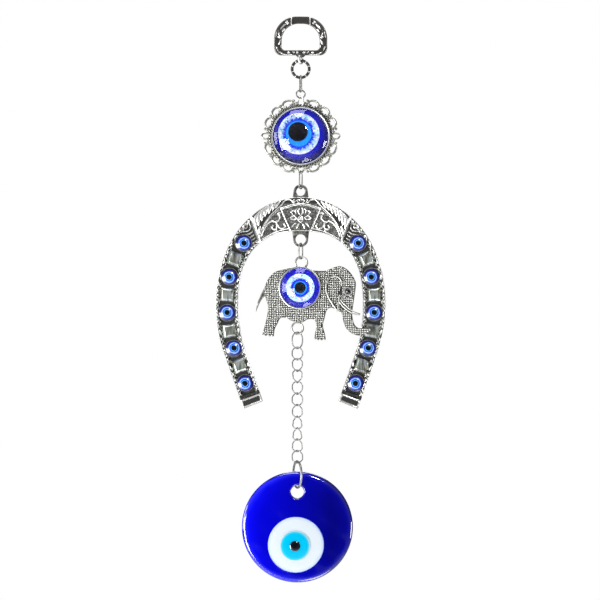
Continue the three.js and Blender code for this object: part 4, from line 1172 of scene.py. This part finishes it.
STRETCHES = [
    [(-8.3, 8.1), (-4, 9), (2, 8.8), (6.4, 7.8), (11.5, 7.8), (15.8, 9.4), (18.6, 9.7), (21.8, 7.7),
     (24.6, 3.8), (25.1, 0.8), (24.4, -4.4), (23.6, -10), (23.6, -13), (24.6, -16.5), (26.8, -18.1),
     (30.8, -17.8)],
    [(30.8, -17.8), (31.9, -18.6), (31.3, -20), (28, -21.4), (24.4, -21), (21.2, -18.8), (19.5, -15.2),
     (18.7, -11.5), (16.8, -10.3)],
    [(16.8, -10.3), (14.2, -9), (12, -10), (11, -13.4), (10.2, -17), (11.1, -20.8), (11.5, -23.2)],
    [(11.5, -23.2), (10.95, -23.5), (10.4, -22.9), (9.9, -23.5), (9.3, -23.6), (8.8, -22.9), (8.3, -23.5),
     (7.7, -23.5), (7.2, -22.8), (6.8, -23.3), (6.2, -23.1)],
    [(6.2, -23.1), (6.7, -20.2), (7.2, -17.3), (6.4, -14.4), (3.4, -14.2), (0.4, -15.6), (-3.9, -14.9),
     (-6.2, -13.6), (-9.1, -13.7), (-10.6, -16.4), (-11.7, -18.6), (-12.1, -21.7)],
    [(-12.1, -21.7), (-12.7, -21.9), (-13.2, -21.2), (-13.8, -21.8), (-14.4, -21.7), (-14.9, -21.0),
     (-15.5, -21.6), (-16.1, -21.5), (-16.6, -20.8), (-17.1, -21.3), (-17.3, -20.9)],
    [(-17.3, -20.9), (-16.4, -17.8), (-15.2, -13), (-14.7, -8.4), (-15.7, -4.8), (-16.4, -0.8),
     (-15.4, 2.6), (-13.6, 5.4), (-11.2, 7.3), (-8.3, 8.1)]]
OUTLINE = np.concatenate([smooth(part, 7)[:-1] for part in STRETCHES])


def edge_distance(x, z, path):
    """Distance from each point to a closed outline, and whether it lies inside, by counting crossings."""
    start, end = path, np.roll(path, -1, axis=0)
    run = end - start
    dx, dz = x[:, None] - start[:, 0], z[:, None] - start[:, 1]
    share = np.clip((dx * run[:, 0] + dz * run[:, 1]) / (run ** 2).sum(1).clip(1e-9), 0, 1)
    apart = np.hypot(dx - share * run[:, 0], dz - share * run[:, 1]).min(1)
    spans = (start[:, 1] > z[:, None]) != (end[:, 1] > z[:, None])
    rise = np.where(np.abs(run[:, 1]) < 1e-9, 1e-9, run[:, 1])
    crossing = start[:, 0] + (z[:, None] - start[:, 1]) / rise * run[:, 0]
    return apart, ((spans & (x[:, None] < crossing)).sum(1) % 2).astype(bool)


def filled_plate(outline, front, back, soft, pitch, shape=None, hollow=0.5, thin=None):
    """A flat casting: the outline filled with triangles, its two faces rounded off over the soft width by a
    quarter ellipse. shape adds a height to the front at (x, z), and thin takes one off the back."""
    low, high = outline.min(0), outline.max(0)
    grid_x, grid_z = np.meshgrid(np.arange(low[0], high[0], pitch), np.arange(low[1], high[1], pitch))
    grid_x = grid_x + (np.arange(grid_x.shape[0])[:, None] % 2) * pitch / 2
    x, z = grid_x.ravel(), grid_z.ravel()
    apart, inside = edge_distance(x, z, outline)
    keep = inside & (apart > 0.18 * soft)
    seeds = [outline, np.stack([x[keep], z[keep]], -1)]
    tangent = np.roll(outline, -1, 0) - np.roll(outline, 1, 0)
    tangent /= np.linalg.norm(tangent, axis=1, keepdims=True).clip(1e-9)
    inward = np.stack([tangent[:, 1], -tangent[:, 0]], -1)
    for depth in (0.12 * soft, 0.4 * soft):
        ring = outline + inward * depth
        apart, inside = edge_distance(ring[:, 0], ring[:, 1], outline)
        seeds.insert(1, ring[inside & (apart > 0.9 * depth)])
    flat = np.concatenate(seeds)
    count = len(outline)
    flat_points, _, triangles, *_ = geometry.delaunay_2d_cdt(
        [Vector(p) for p in flat], [], [list(range(count))], 1, 1e-5)
    flat = np.array([tuple(p) for p in flat_points])
    apart, _ = edge_distance(flat[:, 0], flat[:, 1], outline)
    t = np.clip(1 - apart / soft, 0, 1)
    round_off = 1 - np.sqrt(np.clip(1 - t ** 2, 0, 1))
    middle_y = (front + back) / 2
    y_front = front + (middle_y - front) * 0.75 * round_off
    y_back = back + (middle_y - back) * 0.75 * round_off
    if shape is not None:
        y_front = y_front - shape(flat[:, 0], flat[:, 1]) * (1 - t)
    if thin is not None:
        y_back = y_back - thin(flat[:, 0], flat[:, 1])
    points = np.concatenate([np.stack([flat[:, 0], y_front, flat[:, 1]], -1),
                             np.stack([flat[:, 0], y_back, flat[:, 1]], -1)])
    total = len(flat)
    faces = [list(face) for face in triangles]
    faces += [[corner + total for corner in face][::-1] for face in triangles]
    faces += [[i, (i + 1) % count, (i + 1) % count + total, i + total] for i in range(count)]
    dark = np.concatenate([np.full(total, hollow) - 0.3 * (apart < 0.3), np.full(total, 0.35)])
    return points, faces, dark


def hide_shape(x, z):
    """Gentle swell of the body, the haunch and the shoulder, and creases where the legs begin."""
    belly = np.exp(-((x + 1) / 13) ** 2 - ((z + 3) / 9) ** 2)
    haunch = np.exp(-((x + 11.5) / 4.5) ** 2 - ((z + 5) / 8) ** 2)
    shoulder = np.exp(-((x - 11) / 4) ** 2 - ((z + 7) / 8) ** 2)
    head = np.exp(-((x - 20) / 4) ** 2 - ((z - 2) / 6) ** 2)
    return 0.18 * belly + 0.16 * haunch + 0.16 * shoulder + 0.2 * head


def trunk_back(x, z):
    """Thins the tip of the trunk from behind, which keeps it clear of the shoe as the elephant swings."""
    return 0.7 * ease(x, 20, 25) * ease(-z, 10, 15)


# %% Hide grains
EAR = smooth([(17.4, -6.4), (17.0, -10.2), (15.2, -7.9), (13.2, -4.8), (12.0, -1.4), (11.9, 1.6),
              (13.1, 4.2),
              (15.3, 5.2), (17.6, 4.6), (18.7, 2.9), (18.9, 0.8)], 10)
EAR_FRONT = smooth([(18.0, -3.0), (17.5, -5.0), (17.6, -7.0), (17.3, -10.6)], 8)
TUSK = smooth([(17.7, -6.2), (19.4, -8.3), (21.8, -10.3), (24.4, -11.6), (27.2, -12.1)], 8)
TUSK_OUTER = smooth([(18.3, -5.5), (20.4, -7.8), (22.8, -9.8), (25.2, -11.0), (27.3, -11.6)], 8)
EYE_AT, EYE_RING = (21.7, -1.6), 2.0


def grains(pitch, size, height):
    """Rows of low domes over the hide, inside the outline and clear of the eye, the ear's rim and the
    cabochon. Each dome is two rings and a tip: (size cos t, height sin t) at t = 0, 45 and 90 degrees."""
    low, high = OUTLINE.min(0), OUTLINE.max(0)
    x, z = np.meshgrid(np.arange(low[0], high[0], pitch), np.arange(low[1], high[1], pitch))
    x, z = x.ravel(), z.ravel()
    z = z + 0.12 * np.sin(x * 0.5)
    x = x + 0.10 * np.sin(z * 0.7)
    apart, inside = edge_distance(x, z, OUTLINE)
    clear = inside & (apart > 0.3) & (np.hypot(x, z) > 9.9)
    clear &= np.hypot(x - EYE_AT[0], z - EYE_AT[1]) > EYE_RING + 0.25
    ear_gap, in_ear = edge_distance(x, z, EAR)
    clear &= (ear_gap > 0.55)
    clear &= stroke(x, z, TUSK, 0.75) == 0
    x, z = x[clear], z[clear]
    front = -1.0 - hide_shape(x, z) - 0.25 * in_ear[clear]
    a = np.linspace(0, FULL, 7)[:-1]
    rings = [(size, 0.12), (size * 0.72, -height * 0.7)]
    ring_points = np.array([(r * math.cos(t), y, r * math.sin(t)) for r, y in rings for t in a]
                           + [(0, -height, 0)])
    points = np.stack([x, front, z], -1)[:, None] + ring_points
    one = [[i, (i + 1) % 6, 6 + (i + 1) % 6, 6 + i] for i in range(6)]
    one += [[6 + i, 6 + (i + 1) % 6, 12] for i in range(6)] + [[5, 4, 3, 2, 1, 0]]
    faces = [[corner + 13 * k for corner in face] for k in range(len(x)) for face in one]
    dark = np.tile(np.array([1.0] * 6 + [0.1] * 6 + [0.0]), len(x))
    return points.reshape(-1, 3), faces, dark


# %% Elephant pieces
def line(path, y, radius, hollow=0.05, flat=0.8, taper=0.0):
    """A bar laid on the hide at a depth, thinner towards its ends by the taper."""
    share = np.linspace(0, 1, len(path))
    size = radius * (1 - taper * np.abs(2 * share - 1) ** 3)
    return rod(np.stack([path[:, 0], np.full(len(path), y), path[:, 1]], -1), size, 10, flat, hollow)


body = filled_plate(OUTLINE, -1.0, 1.0, 0.7, 0.55, hide_shape, 0.95, trunk_back)
ear_outline = np.concatenate([EAR, EAR_FRONT[1:-1][::-1]])[::-1]
ear_plate = filled_plate(ear_outline, -1.3, -0.5, 0.35, 0.5, None, 0.95)
TAIL = np.concatenate([smooth([(-15.4, 1.8), (-17.9, -2.8), (-19.6, -7), (-20.3, -11)], 8)[:-1],
                       smooth([(-20.3, -11), (-18.9, -7.6), (-17.2, -4.7), (-15.2, -3.2)], 8)])
TAIL = np.concatenate([TAIL, [(-14.6, -0.6)]])
tail = filled_plate(TAIL[::-1], -0.85, 0.75, 0.4, 0.5, None, 0.75)
piece("elephant_body", [on_elephant(one) for one in (body, tail)], hide_silver, "elephant",
      ["elephant_casting"], crease=60)
piece("elephant_grains", [on_elephant(grains(0.8, 0.35, 0.3))], hide_silver, "elephant",
      ["elephant_casting"], crease=80)

BEZEL = [(8.6, -0.9), (8.95, -1.2), (8.95, -2.1), (9.1, -2.28), (9.35, -2.3), (9.6, -2.2), (9.7, -1.9),
         (9.72, -1.0), (9.72, 0.9), (8.6, 0.9)]
eye_ring = [(1.2, -0.9), (1.25, -1.5), (1.45, -1.72), (1.8, -1.7), (2.1, -1.4), (2.15, -0.9)]
trim = [turned(BEZEL, 128, True, 0.02),
        moved(turned(eye_ring, 48, True, 0.1), (EYE_AT[0], 0, EYE_AT[1])),
        line(EAR, -1.75, 0.42, 0.1, 0.8, 0.3), line(EAR_FRONT, -1.7, 0.3, 0.15, 0.8, 0.5),
        line(TUSK, -1.55, 0.34, 0.0, 1.0, 0.2), line(TUSK_OUTER, -1.5, 0.3, 0.0, 1.0, 0.3),
        moved(link(2.65, 0.45, hollow=0.1), (0.4, 0, 11.3)),
        moved(link(2.55, 0.45, hollow=0.1), (-1.4, 0, -18.2))]
piece("elephant_trim", [on_elephant(one) for one in trim], trim_silver, "elephant", ["elephant_casting"])
piece("elephant_ear", [on_elephant(ear_plate)], hide_silver, "elephant", ["elephant_casting"],
      crease=60)

card_centre = on_elephant((np.array([[0.0, 0, 0]]), [], np.zeros(1)))[0][0]
piece("elephant_eye_card", [on_elephant(print_disc(8.85, -1.1, 0.2))], elephant_eye_print, "elephant",
      ["elephant_print"], centre=card_centre)
elephant_cabochon = piece("elephant_cabochon", [on_elephant(dome(8.85, 1.0, 4.4, -1.2))], cabochon_glass,
                          "elephant", ["elephant_glass"])
elephant_cabochon.visible_shadow = False
eye_stone = moved(dome(1.2, 0.3, 0.9, -1.05, 12, 32), (EYE_AT[0], 0, EYE_AT[1]))
piece("elephant_eye_bead", [on_elephant(eye_stone)],
      black, "elephant", ["elephant_eye_stone"])


# %% [markdown]
# ## The glass disc
# The disc was poured, flattened and fire polished, so its edge is round and its face a little uneven. The
# hole for the ring is off centre: each direction joins a point of the hole's edge to a point of the rim,
# and the section runs round through the face, the rim, the back and the hole.

# %% Disc and drops
DISC = middle("glass_disc")
DISC_RADIUS, DISC_HALF, HOLE_ABOVE, HOLE_RADIUS, LIP = 25.0, 2.3, 15.8, 2.94, 0.8


def glass_disc():
    """The disc's grid: (1 - t) hole point + t rim point in each direction, with the depth a superellipse of
    the distance to the rim, and a quarter round at the hole's lip."""
    a = np.linspace(0, FULL, 256, endpoint=False)
    direction = np.stack([np.cos(a), np.sin(a)], -1)
    q = np.linspace(0, math.pi / 2, 8)
    face_t = np.linspace(0.04, 1, 26)[1:-1] ** 0.9
    columns = []
    for side in (-1, 1):
        own = []
        for lift in q:
            own.append((direction * (HOLE_RADIUS + LIP * (1 - math.cos(lift))) + (0, HOLE_ABOVE),
                        DISC_HALF - LIP * (1 - math.sin(lift))))
        start = direction * (HOLE_RADIUS + LIP) + (0, HOLE_ABOVE)
        flat_rim = direction * (DISC_RADIUS - 2.2)
        for t in face_t:
            own.append((start * (1 - t) + flat_rim * t, DISC_HALF))
        for lift in np.linspace(0, math.pi / 2, 12)[:-1]:
            own.append((direction * (DISC_RADIUS - 2.2 + 2.2 * math.sin(lift)),
                        0.2 + (DISC_HALF - 0.2) * math.cos(lift) ** 0.8))
        columns += [(place, side * depth) for place, depth in (own if side < 0 else own[::-1])]
    x = np.stack([place[:, 0] for place, _ in columns], 1)
    z = np.stack([place[:, 1] for place, _ in columns], 1)
    y = np.broadcast_to(np.array([depth for _, depth in columns])[None], x.shape).copy()
    uneven = 0.05 * np.sin(0.31 * x + 0.8) * np.cos(0.27 * z) + 0.03 * np.sin(0.55 * z + 0.4 * x)
    y = y * (1 + uneven / DISC_HALF * ease(np.abs(y), 1.6, 2.2))
    return skin(np.stack([x, y, z], -1), True, True)


def drop(radius, y, height, sunk, wobble):
    """A drop of glass fused on: a low cap, height (1 - (r / radius)^4), with an outline that isn't quite
    round, its radius changing by the wobble."""
    a = np.linspace(0, FULL, 128, endpoint=False)[:, None]
    share = np.linspace(1, 0, 18)[None, :] ** 0.8
    share = np.concatenate([[[0.0, 1.0]], share], 1)
    rise = height * (1 - share ** 4)
    rise[:, :2] = -sunk
    size = radius * (1 + wobble * np.sin(2 * a + 0.6) + 0.4 * wobble * np.sin(3 * a + 2))
    return skin(np.stack([size * share * np.cos(a), y - rise + 0 * a, size * share * np.sin(a)], -1), True)


piece("cobalt_disc", [moved(glass_disc(), DISC)], cobalt, "disc", ["glass_disc"])
for name, radius, height, material, slot in (
        ("white_glass_drop", 12.55, 0.45, white, "white_glass"),
        ("cyan_glass_drop", 6.7, 0.34, cyan, "cyan_glass"),
        ("black_glass_drop", 2.33, 0.3, black, "black_stone")):
    back = box(name)[1][1]
    centre = middle(name)
    shape = moved(drop(radius, back, height, 0.12, 0.008), (centre[0], 0, centre[2]))
    piece(name.replace("_glass", ""), [shape],
          material, "disc", [name])


# %% [markdown]
# ## Floor
# A plain pale sheet lies well below the ornament. It only matters to views from above or from the side.

# %% Floor and finish
floor_mesh = bpy.data.meshes.new("floor")
reach, level = 4.5, -0.75
floor_mesh.from_pydata([(-reach, -reach, level), (reach, -reach, level), (reach, reach, level),
                        (-reach, reach, level)], [], [(0, 1, 2, 3)])
floor = bpy.data.objects.new("floor", floor_mesh)
scene.collection.objects.link(floor)
floor_material, tree, shader = new_material("pale_floor")
on_floor = node(tree, "ShaderNodeTexCoord").outputs["Object"]
tree.links.new(ramp(tree, noise(tree, on_floor, 12), [(0.3, GREY(0.80)), (0.7, GREY(0.84))]),
               shader.inputs["Base Color"])
shader.inputs["Roughness"].default_value = 0.8
floor_mesh.materials.append(floor_material)
floor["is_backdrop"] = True

sizes = {"cad_box": [list(corner) for corner in cad_box],
         "visual_box": [list(corner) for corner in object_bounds()]}
